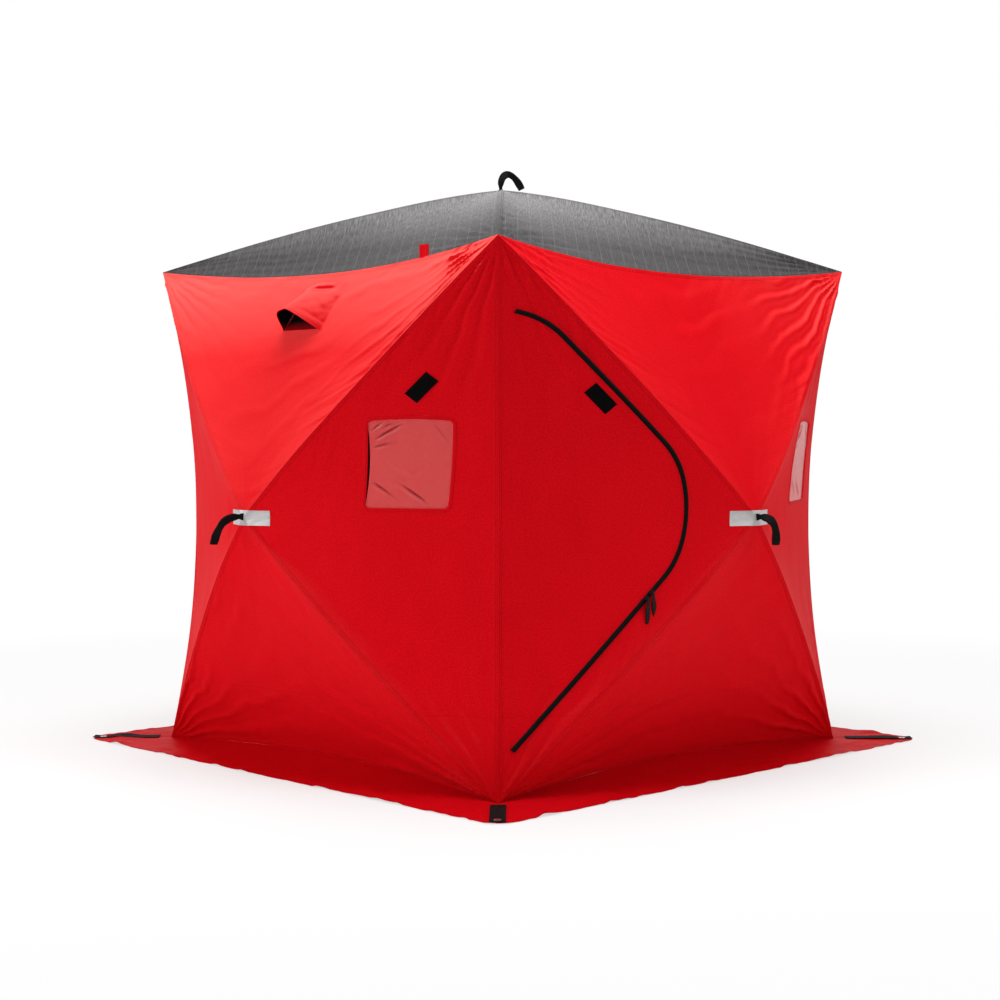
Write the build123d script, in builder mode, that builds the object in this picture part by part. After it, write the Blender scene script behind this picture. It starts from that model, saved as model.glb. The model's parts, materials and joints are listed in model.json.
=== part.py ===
# Pop-up ice fishing hut: a fabric shelter held in shape by five sprung hubs, one in each wall
# and one in the roof. Four fibreglass poles run from each hub to the corners of its side, and
# bow outward against the cloth. Nothing runs along the edges, so every edge is pulled inward.
# Frame: origin on the ground under the middle of the hut, +Z up, the door in the -Y wall.
# Units are millimetres.
from build123d import *
import os

os.makedirs("parts", exist_ok=True)

# Frame of the hut
base_half = 889.0            # half the distance between the corners on the ground
top_half = 905.0             # half the distance between the corners under the roof
corner_height = 1765.0
roof_height = 2075.0
hub_height = 875.0
hub_reach = 1209.0           # how far a wall's hub stands out from the middle of the hut
bow_place = 0.35             # where along a pole its bow pulls hardest, from the hub
bow_height = 60.0
eye = 11.0                   # radius of the hole for the strap at each apex
seam_pull = 110.0            # how far tension pulls in an upright corner seam
eave_pull = 85.0
foot_pull = 55.0

# Cloth
wall_cloth = 4.0             # insulated, quilted wall cloth
skirt_cloth = 3.0
margin = 0.03                # panels are made this much too large, then trimmed to their seams

# Poles
pole_radius = 5.5
hub_radius = 38.0
hub_thickness = 22.0
hub_depth = 26.0             # from the cloth's apex down to the hub's face
socket_depth = 30.0          # from a cloth corner to the middle of its corner socket
socket_length = 46.0
socket_radius = 9.0

# Skirt and anchors
skirt_half = 1120.0
fold_half = 985.0            # how far out the skirt's fall to the ground is pulled
band_half = 1050.0           # from here out to its edge the skirt lies flat
anchor_half = 1072.0         # grommet centre, along X and along Y
anchor_hole = 5.0
strap_width = 50.0
strap_cloth = 2.0

# Door, in the front wall's left panel
door_gap = 8.0
zip_width = 9.0
zip_height = 2.5
door_low = 190.0                      # the flap stops short of the ends of its hinge edge
door_high = 1502.0
hinge_foot = (-830.0, 157.0)          # X and Z on the front wall
hinge_middle = (-778.0, 860.0)
hinge_head = (-823.0, 1528.0)
door_shoulder = (-742.0, 1508.0)
door_nose = (-100.0, 889.0)           # where the door's two long edges would meet
door_nose_radius = 350.0
door_shoulder_radius = 150.0

# Windows and vents
window_low = (429.0, 915.0)
window_high = (690.0, 1200.0)
window_corner = 12.0
cover_border = 12.0
vent_x = -15.0
vent_mouth = ((-115, -930, 1499), (115, -930, 1499), (0, -1005, 1571))
vent_top = ((-128, -850, 1662), (128, -850, 1662), (15, -885, 1682))
hood_cloth = 3.0

# Trim
patch_size = (100.0, 50.0)
patch_height = 2.0
strip_size = (200.0, 50.0)
strip_height = 1.0
pull_width = 14.0
wall_loop = {                 # outline of the doubled webbing, from the hub's face outwards
    "outward": ((0, 4), (60, 9), (100, 0), (98, -84)),
    "back": ((86, -86), (88, -20), (60, 4), (0, -4)),
    "bulge": 5,
}
roof_loop = {
    "outward": ((-4, 0), (-5, 80), (50, 140), (86, 34)),
    "back": ((75, 31), (40, 112), (6, 60), (4, 0)),
    "bulge": 5,
}
tab_place = (500, -868, 1738)
tab_size = (33.0, 42.0)
strap_start = 45.0
strap_end = 50.0
pull_places = ((-396, -1078, 612), (-381, -1084, 628))
pull_tab = (10.0, 56.0)

heart = Vector(0, 0, hub_height)
roof_hub = Vector(0, 0, roof_height)
wall_hub = Vector(0, -hub_reach, hub_height)
out = Vector(0, -1, 0)
up = Vector(0, 0, 1)
foot = skirt_cloth
walls = {"front": 0, "left": -90, "back": 180, "right": 90}


def toward(point, target, distance):
    return point + (target - point).normalized() * distance


def save(piece, name):
    piece.label = name
    export_step(piece, f"parts/{name}.step")


def pole_line(hub, axis, corner):
    """Control points of the bowed line that a pole draws from its hub to a corner."""
    start = toward(hub, corner, eye - 1)
    return [start, start + (corner - start) * bow_place + axis * bow_height, corner]


def panel_net(hub, axis, first, second, pull):
    """Control net of one triangular panel: hub, bowed pole lines and a pulled-in outer edge."""
    left = pole_line(hub, axis, first)
    right = pole_line(hub, axis, second)
    edge = toward((first + second) * 0.5, heart, 2 * pull)
    inner = (left[0] + right[0]) * 0.5
    return [
        [left[0], inner, right[0]],
        [left[1], inner + (edge - inner) * bow_place, right[1]],
        [first, edge, second],
    ]


def stretched(points, before, after):
    """The same curve, carried on past its two ends."""
    start, middle, end = points
    result = []
    for u, v in ((-before, -before), (-before, 1 + after), (1 + after, 1 + after)):
        result.append(start * ((1 - u) * (1 - v)) + middle * (u + v - 2 * u * v) + end * (u * v))
    return result


def stretched_net(net, before, after, sides):
    rows = [stretched(row, sides, sides) for row in net]
    columns = [stretched([row[j] for row in rows], before, after) for j in range(3)]
    return [[column[i] for column in columns] for i in range(3)]


def layer(face, outer, inner):
    """Cloth between two depths under a face, measured towards the inside of the hut."""
    middle = face.position_at(0.5, 0.5)
    inward = -1 if face.normal_at(middle).dot(middle - heart) > 0 else 1
    with BuildPart() as cloth:
        if inner > 0:
            thicken(face, amount=inward * inner)
        if outer > 0:
            thicken(face, amount=inward * outer, mode=Mode.SUBTRACT)
        if outer < 0:
            thicken(face, amount=inward * outer)
    return cloth.part


def skin(hub, axis, first, second, pull, outer, inner):
    """One layer of a panel, mitred on its seams by planes through the middle of the hut."""
    net = panel_net(hub, axis, first, second, pull)
    face = Face.make_bezier_surface(stretched_net(net, 0, margin, margin))
    middle = face.position_at(0.5, 0.5)
    with BuildPart() as cloth:
        add(layer(face, outer, inner))
        for start, end in ((hub, first), (second, hub), (first, second)):
            if start.Z < 2 * foot and end.Z < 2 * foot:
                continue
            seam = Plane(origin=heart, z_dir=(start - heart).cross(end - heart))
            keep_top = (middle - heart).dot(seam.z_dir) > 0
            split(bisect_by=seam, keep=Keep.TOP if keep_top else Keep.BOTTOM)
        with BuildSketch(Plane(origin=heart, z_dir=axis)):
            Circle(eye)
        extrude(amount=2 * hub_reach, mode=Mode.SUBTRACT)
    return cloth.part


# Corners of the front wall. Every wall is the front wall turned about the hut's middle.
top_left = Vector(-top_half, -top_half, corner_height)
top_right = Vector(top_half, -top_half, corner_height)
foot_left = Vector(-base_half, -base_half, foot)
foot_right = Vector(base_half, -base_half, foot)
wall_sides = {
    "top": (top_left, top_right, eave_pull),
    "bottom": (foot_left, foot_right, foot_pull),
    "left": (top_left, foot_left, seam_pull),
    "right": (top_right, foot_right, seam_pull),
}


def wall_skin(side, outer=0.0, inner=wall_cloth):
    first, second, pull = wall_sides[side]
    return skin(wall_hub, out, first, second, pull, outer, inner)


# Skirt of the front wall: from the foot of the wall down to the ground and out to a straight edge
foot_edge = toward((foot_left + foot_right) * 0.5, heart, 2 * foot_pull)
skirt_net = [
    [foot_left, foot_edge, foot_right],
    [Vector(-fold_half, -fold_half, foot), Vector(0, -fold_half + 65, foot),
     Vector(fold_half, -fold_half, foot)],
    [Vector(-band_half, -band_half, foot), Vector(0, -band_half, foot),
     Vector(band_half, -band_half, foot)],
]
skirt_face = Face.make_bezier_surface(stretched_net(skirt_net, 0.06, 0, margin))
skirt_down = -1 if skirt_face.normal_at(skirt_face.position_at(0.5, 0.5)).Z > 0 else 1

ground_face = Face.make_bezier_surface(stretched_net(skirt_net, 0.3, 0, margin))
with BuildPart() as under_wall:
    thicken(ground_face, amount=skirt_down * 100)

# Upright planes through the hut's corners, with the front wall on their upper side
corner_planes = [Plane(origin=(0, 0, 0), z_dir=(sign, -1, 0)) for sign in (1, -1)]

with BuildPart() as front_skirt:
    thicken(skirt_face, amount=skirt_down * skirt_cloth)
    with BuildSketch():
        with Locations((0, -(band_half + skirt_half) / 2)):
            Rectangle(2 * hub_reach, skirt_half - band_half)
    extrude(amount=skirt_cloth)
    for corner in corner_planes:
        split(bisect_by=corner, keep=Keep.TOP)
    with Locations((anchor_half, -anchor_half, foot), (-anchor_half, -anchor_half, foot)):
        Cylinder(anchor_hole + 2, 4 * foot, mode=Mode.SUBTRACT)

for wall, turn in walls.items():
    save(front_skirt.part.rotate(Axis.Z, turn), f"{wall}_skirt")

# Plain wall panels
top_panel = wall_skin("top")
with BuildPart() as bottom_panel:
    add(wall_skin("bottom"))
    add(under_wall.part, mode=Mode.SUBTRACT)
    for corner in corner_planes:
        split(bisect_by=corner, keep=Keep.TOP)
left_panel = wall_skin("left")
right_panel = wall_skin("right")
left_net = panel_net(wall_hub, out, *wall_sides["left"])
left_face = Face.make_bezier_surface(stretched_net(left_net, 0, margin, margin))

# Window in the right-hand panel of each wall, seen from outside
with BuildPart() as window_core:
    with BuildSketch(Plane.XZ):
        with Locations(((window_low[0] + window_high[0]) / 2, (window_low[1] + window_high[1]) / 2)):
            RectangleRounded(window_high[0] - window_low[0], window_high[1] - window_low[1],
                             window_corner)
    extrude(amount=hub_reach)

with BuildPart() as cover_core:
    with BuildSketch(Plane.XZ):
        with Locations(((window_low[0] + window_high[0]) / 2, (window_low[1] + window_high[1]) / 2)):
            RectangleRounded(window_high[0] - window_low[0] + 2 * cover_border,
                             window_high[1] - window_low[1] + 2 * cover_border, window_corner)
    extrude(amount=hub_reach)

with BuildPart() as window_panel:
    add(right_panel)
    add(window_core.part, mode=Mode.SUBTRACT)

with BuildPart() as pane:
    add(wall_skin("right", 1.0, 2.5))
    add(window_core.part, mode=Mode.INTERSECT)

with BuildPart() as cover:
    add(wall_skin("right", wall_cloth, wall_cloth + 2))
    add(cover_core.part, mode=Mode.INTERSECT)

# Vent hood on the top panel of the left and right walls, over a hole in the cloth
with BuildPart() as vent_hole:
    with BuildSketch(Plane.XZ):
        with Locations((vent_x, 1565)):
            RectangleRounded(110, 70, 12)
    extrude(amount=hub_reach)

with BuildPart() as vent_panel:
    add(top_panel)
    add(vent_hole.part, mode=Mode.SUBTRACT)

# Which panel of each wall is which, named by where it stands
side_names = {
    "front": ("left", "right"),
    "left": ("back", "front"),
    "back": ("right", "left"),
    "right": ("front", "back"),
}
for wall, turn in walls.items():
    top = vent_panel.part if wall in ("left", "right") else top_panel
    left_name, right_name = side_names[wall]
    save(top.rotate(Axis.Z, turn), f"{wall}_panel_top")
    save(bottom_panel.part.rotate(Axis.Z, turn), f"{wall}_panel_bottom")
    save(window_panel.part.rotate(Axis.Z, turn), f"{wall}_panel_{right_name}")
    if wall != "front":
        save(left_panel.rotate(Axis.Z, turn), f"{wall}_panel_{left_name}")

# Roof panels
roof_panel = skin(roof_hub, up, top_left, top_right, eave_pull, 0, wall_cloth)
for wall, turn in walls.items():
    save(roof_panel.rotate(Axis.Z, turn), f"roof_panel_{wall}")


# Door outline, looking at the front wall: a hinge edge along the corner seam and a zipped D
def door_outline(shift):
    with BuildSketch(Plane.XZ) as outline:
        with BuildLine():
            hinge_edge = ThreePointArc(hinge_foot, hinge_middle, hinge_head)
            top_run = Line(hinge_edge @ 1, door_shoulder)
            upper = Line(top_run @ 1, door_nose)
            Line(upper @ 1, hinge_edge @ 0)
        make_face()
        fillet(outline.vertices().sort_by(Axis.X)[-1], door_nose_radius)
        shoulder = outline.vertices().sort_by_distance((door_shoulder[0], 0, door_shoulder[1]))[0]
        fillet(shoulder, door_shoulder_radius)
        if shift:
            offset(amount=shift, kind=Kind.ARC, mode=Mode.REPLACE)
    return outline.sketch


def door_core(shift):
    with BuildPart() as core:
        with BuildSketch(Plane.XZ):
            add(door_outline(shift))
        extrude(amount=hub_reach)
    return core.part


doorway = door_core(0)

with BuildPart() as door_height:
    with Locations((0, -hub_reach, (door_low + door_high) / 2)):
        Box(2 * hub_reach, hub_reach, door_high - door_low)

with BuildPart() as door_flap:
    add(left_panel)
    add(door_core(-door_gap), mode=Mode.INTERSECT)
    add(door_height.part, mode=Mode.INTERSECT)
save(door_flap.part, "door_flap")

with BuildPart() as door_surround:
    add(left_panel)
    add(doorway, mode=Mode.SUBTRACT)

# The cloth round the doorway: a strip along the corner seam, and pieces over and under the door
with BuildPart() as strip_core:
    with BuildSketch(Plane.XZ):
        with BuildLine():
            strip_edge = ThreePointArc(hinge_foot, hinge_middle, hinge_head)
            Polyline(strip_edge @ 1, (-top_half - 50, hinge_head[1]),
                     (-top_half - 50, hinge_foot[1]), strip_edge @ 0)
        make_face()
    extrude(amount=hub_reach)

with BuildPart() as hinge_strip:
    add(door_surround.part)
    add(strip_core.part, mode=Mode.INTERSECT)
save(hinge_strip.part, "front_hinge_strip")

nose_level = Plane(origin=(0, 0, door_nose[1]), z_dir=(0, 0, 1))
for name, keep in (("front_panel_over_door", Keep.TOP), ("front_panel_under_door", Keep.BOTTOM)):
    with BuildPart() as beside_door:
        add(door_surround.part)
        add(strip_core.part, mode=Mode.SUBTRACT)
        split(bisect_by=nose_level, keep=keep)
    save(beside_door.part, name)

# Zipper: one half on the wall, one on the door, raised on the cloth beside the cut
left_band = wall_skin("left", -zip_height, 0)
with BuildPart() as beyond_hinge:
    with BuildSketch(Plane.XZ):
        with BuildLine():
            zip_edge = ThreePointArc(hinge_foot, hinge_middle, hinge_head)
            Polyline(zip_edge @ 1, (-top_half - 50, hinge_head[1] + 60),
                     (-top_half - 50, hinge_foot[1] - 60), zip_edge @ 0)
        make_face()
        offset(amount=door_gap + zip_width, kind=Kind.ARC, mode=Mode.REPLACE)
    extrude(amount=hub_reach)

for name, wide, narrow in (("doorway_zipper", zip_width, 0),
                           ("door_zipper", -door_gap, -door_gap - zip_width)):
    with BuildPart() as zip_half:
        add(left_band)
        add(door_core(wide), mode=Mode.INTERSECT)
        add(door_core(narrow), mode=Mode.SUBTRACT)
        add(beyond_hinge.part, mode=Mode.SUBTRACT)
        if name == "door_zipper":
            add(door_height.part, mode=Mode.INTERSECT)
    save(zip_half.part, name)

# Hook-and-loop patches that hold the open door back against the left wall
right_band = wall_skin("right", -patch_height, 0)
left_patch_band = wall_skin("left", -patch_height, 0)


def patch(band, centre, slope):
    with BuildPart() as core:
        with BuildSketch(Plane.XZ):
            with Locations(Location(centre, slope)):
                Rectangle(patch_size[0], patch_size[1])
        extrude(amount=hub_reach)
    with BuildPart() as piece:
        add(band)
        add(core.part, mode=Mode.INTERSECT)
    return piece.part


save(patch(left_patch_band, (-558, 1256), -44), "door_hook_patch")
save(patch(right_band, (623, 1300), 44).rotate(Axis.Z, walls["left"]), "wall_hook_patch")

# Reflective strip, bent over the apex of each wall
with BuildPart() as strip:
    for side in wall_sides:
        add(wall_skin(side, -strip_height, 0))
    with BuildPart(mode=Mode.PRIVATE) as strip_window:
        with Locations((0, -hub_reach, hub_height)):
            Box(strip_size[0], 400, strip_size[1])
    add(strip_window.part, mode=Mode.INTERSECT)


def ring(piece, turns=(0, -90, 180, 90)):
    """Copies of a piece of the front wall on other walls, as one node of separate solids."""
    return Compound(children=[copy for turn in turns for copy in piece.rotate(Axis.Z, turn).solids()])


save(ring(strip.part), "reflective_strips")
save(ring(pane.part), "window_panes")
save(ring(cover.part), "window_covers")

# Poles, and the sockets that hold their ends
def pole_path(hub, axis, corner):
    """A pole's bowed centre line, from inside its hub to its corner socket."""
    centre = toward(corner, heart, socket_depth)
    low_hub = hub - axis * (hub_depth + hub_thickness / 2)
    flat = (corner - hub) - axis * (corner - hub).dot(axis)
    start = low_hub + flat.normalized() * (hub_radius / 3)
    end = toward(centre, low_hub, pole_radius * 2)
    return [start, start + (end - start) * bow_place + axis * bow_height, end]


def pole(hub, axis, corner):
    with BuildPart() as rod:
        with BuildLine() as line:
            centre_line = Bezier(*pole_path(hub, axis, corner))
        with BuildSketch(Plane(origin=centre_line @ 0, z_dir=centre_line % 0)):
            Circle(pole_radius)
        sweep()
    return rod.part


def hub_block(hub, axis, poles):
    """A round moulded hub with a hollow for each pole."""
    with BuildPart() as block:
        with BuildSketch(Plane(origin=hub - axis * hub_depth, z_dir=axis * -1)):
            Circle(hub_radius)
        extrude(amount=hub_thickness)
        fillet(block.edges().filter_by(GeomType.CIRCLE), 4)
        add(poles, mode=Mode.SUBTRACT)
    return block.part


wall_corners = (top_left, top_right, foot_left, foot_right)
front_poles = [pole(wall_hub, out, corner) for corner in wall_corners]
roof_corners = [top_left.rotate(Axis.Z, turn) for turn in walls.values()]
roof_poles = [pole(roof_hub, up, corner) for corner in roof_corners]
for wall, turn in walls.items():
    save(Compound(children=[rod.rotate(Axis.Z, turn) for rod in front_poles]), f"{wall}_poles")
save(Compound(children=roof_poles), "roof_poles")
front_hub_block = hub_block(wall_hub, out, front_poles)
roof_hub_block = hub_block(roof_hub, up, roof_poles)
save(ring(front_hub_block), "wall_hubs")
save(roof_hub_block, "roof_hub")


def corner_socket(corner, hubs, rods):
    """A socket where the poles of neighbouring sides meet inside a cloth corner."""
    centre = toward(corner, heart, socket_depth)
    with BuildPart() as socket:
        with Locations(centre):
            Sphere(socket_radius)
        for hub, axis in hubs:
            direction = hub - axis * (hub_depth + hub_thickness / 2) - centre
            with BuildSketch(Plane(origin=centre, z_dir=direction)):
                Circle(socket_radius)
            extrude(amount=socket_length)
        add(rods, mode=Mode.SUBTRACT)
    return socket.part


left_hub = wall_hub.rotate(Axis.Z, walls["left"])
left_out = out.rotate(Axis.Z, walls["left"])
left_poles = [rod.rotate(Axis.Z, walls["left"]) for rod in front_poles]
near_hubs = [(wall_hub, out), (left_hub, left_out)]
upper_socket = corner_socket(top_left, near_hubs + [(roof_hub, up)], front_poles + left_poles + roof_poles)
lower_socket = corner_socket(foot_left, near_hubs, front_poles + left_poles)
save(ring(upper_socket), "upper_corner_sockets")
save(ring(lower_socket), "lower_corner_sockets")

# Vent hood: cloth folded over a ridge, sewn over the hole in the top panel, mouth downward
top_net = panel_net(wall_hub, out, top_left, top_right, eave_pull)
behind_top = layer(Face.make_bezier_surface(stretched_net(top_net, 0, margin, margin)), 0, 100)
hood_mouth = [(vent_x + x, y, z) for x, y, z in vent_mouth]
hood_top = [(vent_x + x, y, z) for x, y, z in vent_top]
with BuildPart() as hood:
    loft(sections=[Face(Wire.make_polygon(hood_mouth)), Face(Wire.make_polygon(hood_top))])
    offset(amount=-hood_cloth, openings=hood.faces().sort_by(Axis.Z)[0])
    add(behind_top, mode=Mode.SUBTRACT)
save(ring(hood.part, (walls["left"], walls["right"])), "vent_hoods")


# Pull straps: a doubled loop of webbing through the eye of each apex, fixed to its hub
def strap(plane, loop, hub):
    with BuildPart() as webbing:
        with BuildSketch(plane):
            with BuildLine():
                outward = Bezier(*loop["outward"])
                SagittaArc(outward @ 1, loop["back"][0], loop["bulge"])
                Bezier(*loop["back"])
            trace(line_width=strap_cloth)
        extrude(amount=pull_width / 2, both=True)
        add(hub, mode=Mode.SUBTRACT)
    return webbing.part


wall_strap_plane = Plane(origin=wall_hub - out * hub_depth, x_dir=out, z_dir=(-1, 0, 0))
save(ring(strap(wall_strap_plane, wall_loop, front_hub_block)), "wall_pull_straps")
roof_strap_plane = Plane(origin=roof_hub - up * hub_depth, x_dir=(1, -1, 0), z_dir=(-1, -1, 0))
save(strap(roof_strap_plane, roof_loop, roof_hub_block), "roof_pull_strap")

# Cloth tabs on the roof edges of the left and right walls
with BuildPart() as tab:
    with BuildSketch(Plane(origin=tab_place, x_dir=(1, 0, 0), z_dir=(0, -1, -0.5))):
        RectangleRounded(tab_size[0], tab_size[1], 3)
    extrude(amount=strap_cloth)
    add(behind_top, mode=Mode.SUBTRACT)
    add(roof_panel, mode=Mode.SUBTRACT)
save(ring(tab.part, (walls["left"], walls["right"])), "roof_edge_tabs")

# Webbing along each skirt corner, with a grommet for an ice anchor
corner_line = Plane(origin=(-anchor_half, -anchor_half, foot), x_dir=(1, 1, 0), z_dir=(0, 0, 1))
to_corner = (anchor_half - base_half) * 2 ** 0.5
with BuildPart() as anchor_strap:
    with BuildSketch(corner_line):
        with Locations(((to_corner - strap_start - strap_end) / 2, 0)):
            RectangleRounded(to_corner - strap_start + strap_end, strap_width, 6)
        Circle(anchor_hole + 2, mode=Mode.SUBTRACT)
    extrude(amount=strap_cloth)
    add(front_skirt.part, mode=Mode.SUBTRACT)
    add(front_skirt.part.rotate(Axis.Z, walls["left"]), mode=Mode.SUBTRACT)
save(ring(anchor_strap.part), "corner_anchor_straps")

with BuildPart() as grommet:
    with BuildSketch(corner_line.offset(-foot)):
        Circle(anchor_hole + 2)
        Circle(anchor_hole, mode=Mode.SUBTRACT)
    extrude(amount=foot + strap_cloth)
    with BuildSketch(corner_line.offset(strap_cloth)):
        Circle(2 * anchor_hole + 2)
        Circle(anchor_hole, mode=Mode.SUBTRACT)
    extrude(amount=1.5)
save(ring(grommet.part), "anchor_grommets")

# Zipper pulls: two sliders on the door's half of the zipper, each with a tape tab hanging from it
with BuildPart() as pulls:
    for place in pull_places:
        with Locations(Location(place)):
            Box(12, 16, 16)
        with Locations(Location(Vector(*place) + Vector(0, -7, -pull_tab[1] / 2 - 4))):
            Box(pull_tab[0], 3, pull_tab[1])
    add(layer(left_face, -zip_height, 60), mode=Mode.SUBTRACT)
save(pulls.part, "zipper_pulls")
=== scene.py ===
# Looks of a pop-up ice fishing hut around its CAD frame: cloth panels, door, windows, trim.
# Metres, +Z up, the door in the -Y wall. Every wall is the front wall turned about Z.
import json
import math

import bmesh
import bpy
from mathutils import Matrix, Vector, noise

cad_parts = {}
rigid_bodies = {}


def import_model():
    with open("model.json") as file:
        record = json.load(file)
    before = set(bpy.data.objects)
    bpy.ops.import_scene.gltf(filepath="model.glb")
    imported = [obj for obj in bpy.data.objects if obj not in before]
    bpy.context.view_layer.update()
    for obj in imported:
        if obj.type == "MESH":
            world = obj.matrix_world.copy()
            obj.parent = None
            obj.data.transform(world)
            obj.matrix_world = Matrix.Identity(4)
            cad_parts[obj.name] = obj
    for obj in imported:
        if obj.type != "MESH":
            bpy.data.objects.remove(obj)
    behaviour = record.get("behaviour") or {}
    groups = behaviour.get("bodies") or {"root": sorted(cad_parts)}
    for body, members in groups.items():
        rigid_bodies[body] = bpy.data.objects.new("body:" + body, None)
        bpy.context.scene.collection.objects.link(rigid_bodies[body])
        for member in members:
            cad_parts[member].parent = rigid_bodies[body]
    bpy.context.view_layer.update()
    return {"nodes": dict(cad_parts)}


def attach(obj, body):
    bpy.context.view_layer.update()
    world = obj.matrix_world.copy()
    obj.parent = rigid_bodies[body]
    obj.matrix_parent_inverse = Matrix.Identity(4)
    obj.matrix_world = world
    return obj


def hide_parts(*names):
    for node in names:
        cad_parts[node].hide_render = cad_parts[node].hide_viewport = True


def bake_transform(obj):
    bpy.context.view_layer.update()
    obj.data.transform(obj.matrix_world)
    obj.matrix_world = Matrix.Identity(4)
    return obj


for left in list(bpy.data.objects):
    bpy.data.objects.remove(left)

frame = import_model()
nodes = frame["nodes"]
print("frame loaded:", len(nodes), "nodes")

hut = {  # the frame's driving sizes
    "baseHalf": 0.889,
    "topHalf": 0.905,
    "cornerHeight": 1.765,
    "roofHeight": 2.075,
    "hubHeight": 0.875,
    "hubReach": 1.209,
    "bowPlace": 0.35,
    "bowHeight": 0.06,
    "apexGap": 0.010,
    "seamPull": 0.110,
    "eavePull": 0.085,
    "footPull": 0.055,
    "foot": 0.003,
}
heart = Vector((0, 0, hut["hubHeight"]))
walls = {"front": 0, "left": -90, "back": 180, "right": 90}
root2 = math.sqrt(2)


# shader helpers
class Wire:
    # a node socket that takes part in Python expressions
    def __init__(self, tree, socket=None):
        self.tree = tree
        self.socket = socket

    def node(self, kind, settings, plugs, output=0):
        made = self.tree.nodes.new(kind)
        for name, value in settings.items():
            setattr(made, name, value)
        for name, value in plugs.items():
            if isinstance(value, Wire):
                self.tree.links.new(value.socket, made.inputs[name])
            else:
                made.inputs[name].default_value = value
        return Wire(self.tree, made.outputs[output])

    def math(self, operation, *values, clamp=False):
        return self.node("ShaderNodeMath", {"operation": operation, "use_clamp": clamp},
                         dict(enumerate((self, *values))))

    def slope(self, gain, offset):
        # gain times the value plus offset, held between 0 and 1
        return self.math("MULTIPLY_ADD", gain, offset, clamp=True)

    def ramp(self, start, end):
        # 0 at start and 1 at end
        return self.slope(1 / (end - start), -start / (end - start))

    def parts(self):
        # the three numbers of a vector
        return [self.node("ShaderNodeSeparateXYZ", {}, {0: self}, output=i) for i in range(3)]

    def __add__(self, other):
        return self.math("ADD", other)

    def __mul__(self, other):
        return self.math("MULTIPLY", other)

    def __sub__(self, other):
        return self.math("SUBTRACT", other)

    def __truediv__(self, other):
        return self.math("DIVIDE", other)


def band(value, centre, half, soft):
    # 1 inside centre +- half, falling to 0 over soft
    return (value - centre).math("ABSOLUTE").slope(-1 / soft, 1 + half / soft)


def newMaterial(name, base, roughness, **sockets):
    material = bpy.data.materials.new(name)
    material.use_nodes = True
    shader = material.node_tree.nodes["Principled BSDF"]
    shader.inputs["Base Color"].default_value = (*base, 1)
    shader.inputs["Roughness"].default_value = roughness
    for key, value in sockets.items():
        shader.inputs[key.replace("_", " ")].default_value = value
    return material, Wire(material.node_tree), shader


def noiseAt(where, scale, detail=2.0, roughness=0.5, stretch=(1, 1, 1)):
    spread = where.node("ShaderNodeMapping", {}, {"Vector": where, "Scale": stretch})
    return where.node("ShaderNodeTexNoise", {}, {"Vector": spread, "Scale": scale,
                                                 "Detail": detail, "Roughness": roughness})


def tint(amount, under, over):
    # a colour between two, by an amount from 0 to 1; each is a link or three numbers
    plugs = {"Factor": amount}
    for key, colour in (("A", under), ("B", over)):
        plugs[key] = colour if isinstance(colour, Wire) else (*colour, 1)
    return amount.node("ShaderNodeMix", {"data_type": "RGBA"}, plugs, output=2)


def finishShader(shader, colour, height, roughness=None, depth=0.001):
    links = colour.tree.links
    bump = colour.node("ShaderNodeBump", {}, {"Height": height, "Distance": depth, "Strength": 1.0})
    links.new(colour.socket, shader.inputs["Base Color"])
    links.new(bump.socket, shader.inputs["Normal"])
    if roughness:
        links.new(roughness.socket, shader.inputs["Roughness"])


def objectPlace(wire):
    return wire.node("ShaderNodeTexCoord", {}, {}, output="Object")


def attribute(wire, name):
    return wire.node("ShaderNodeAttribute", {"attribute_name": name}, {}, output="Vector")


cloth = {
    "redDark": (0.60, 0.0006, 0.0045),
    "redLight": (0.80, 0.0022, 0.0095),
    "thread": (0.30, 0.001, 0.004),
    "stitchRows": (0.004, 0.0105),  # distances of the two stitch lines from a seam
    "stitch": (0.0005, 0.0006),  # a line's half width and soft edge
    "stitchLength": 0.0042,
    "stitchGap": 0.28,  # as a share of its length
    "welt": (0, 0.0135, 0.0015),  # folded edge along a seam: middle, half width and soft edge
    "join": (0.262, 0.0016, 0.0014),  # across the walls, where two widths of cloth meet
    "creaseDepth": 0.55,
    "specular": 0.035,
    "speckle": (175, 3, 0.70),  # noises: scale, detail, roughness and stretch
    "slub": (9, 4, 0.6, (1.4, 0.5, 1)),
    "warp": (60, 1, 0.5, (12, 1, 1)),
    "weft": (60, 1, 0.5, (1, 12, 1)),
    "pucker": (90, 2, 0.5),
    "cloud": (3.2, 3, 0.55),
    "rumple": (11, 4, 0.62, (1, 1, 1.5)),
}
# painted light and painted shade on the red walls
paintedLightLook = {
    "paintedHighlight": (0.98, 0.100, 0.090),
    "litSide": (-1.25, 0.0),  # gain and offset of the normal's part along X, for painted light on the side lit from -X
    "litFromAbove": (1.6, -0.35),  # of its upward part, for painted light on cloth that faces up
    "litLeaningBack": (4.0, -0.5),  # and for cloth that leans back at all
    "litHeights": (1.42, 1.70),  # heights between which painted light grows on the wall
    "litFromAboveShare": 0.45,
    "litHeightsShare": 0.72,
    # painted shade by the ice: the height below which it grows, and its strength
    "paintedShadeHeight": 0.30,
    "paintedShadeGain": 1.6,
}


def seamParts(wire):
    # distance from the nearest seam, place along the stitches, place on the cloth, and its height
    left, right, edge = attribute(wire, "seams").parts()
    grain = attribute(wire, "grain")
    across, down = grain.parts()[:2]
    return left.math("MINIMUM", right).math("MINIMUM", edge), across + down, grain, down


def stitchLines(nearest, rows):
    return band(nearest, rows[0], *cloth["stitch"]) + band(nearest, rows[1], *cloth["stitch"])


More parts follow.
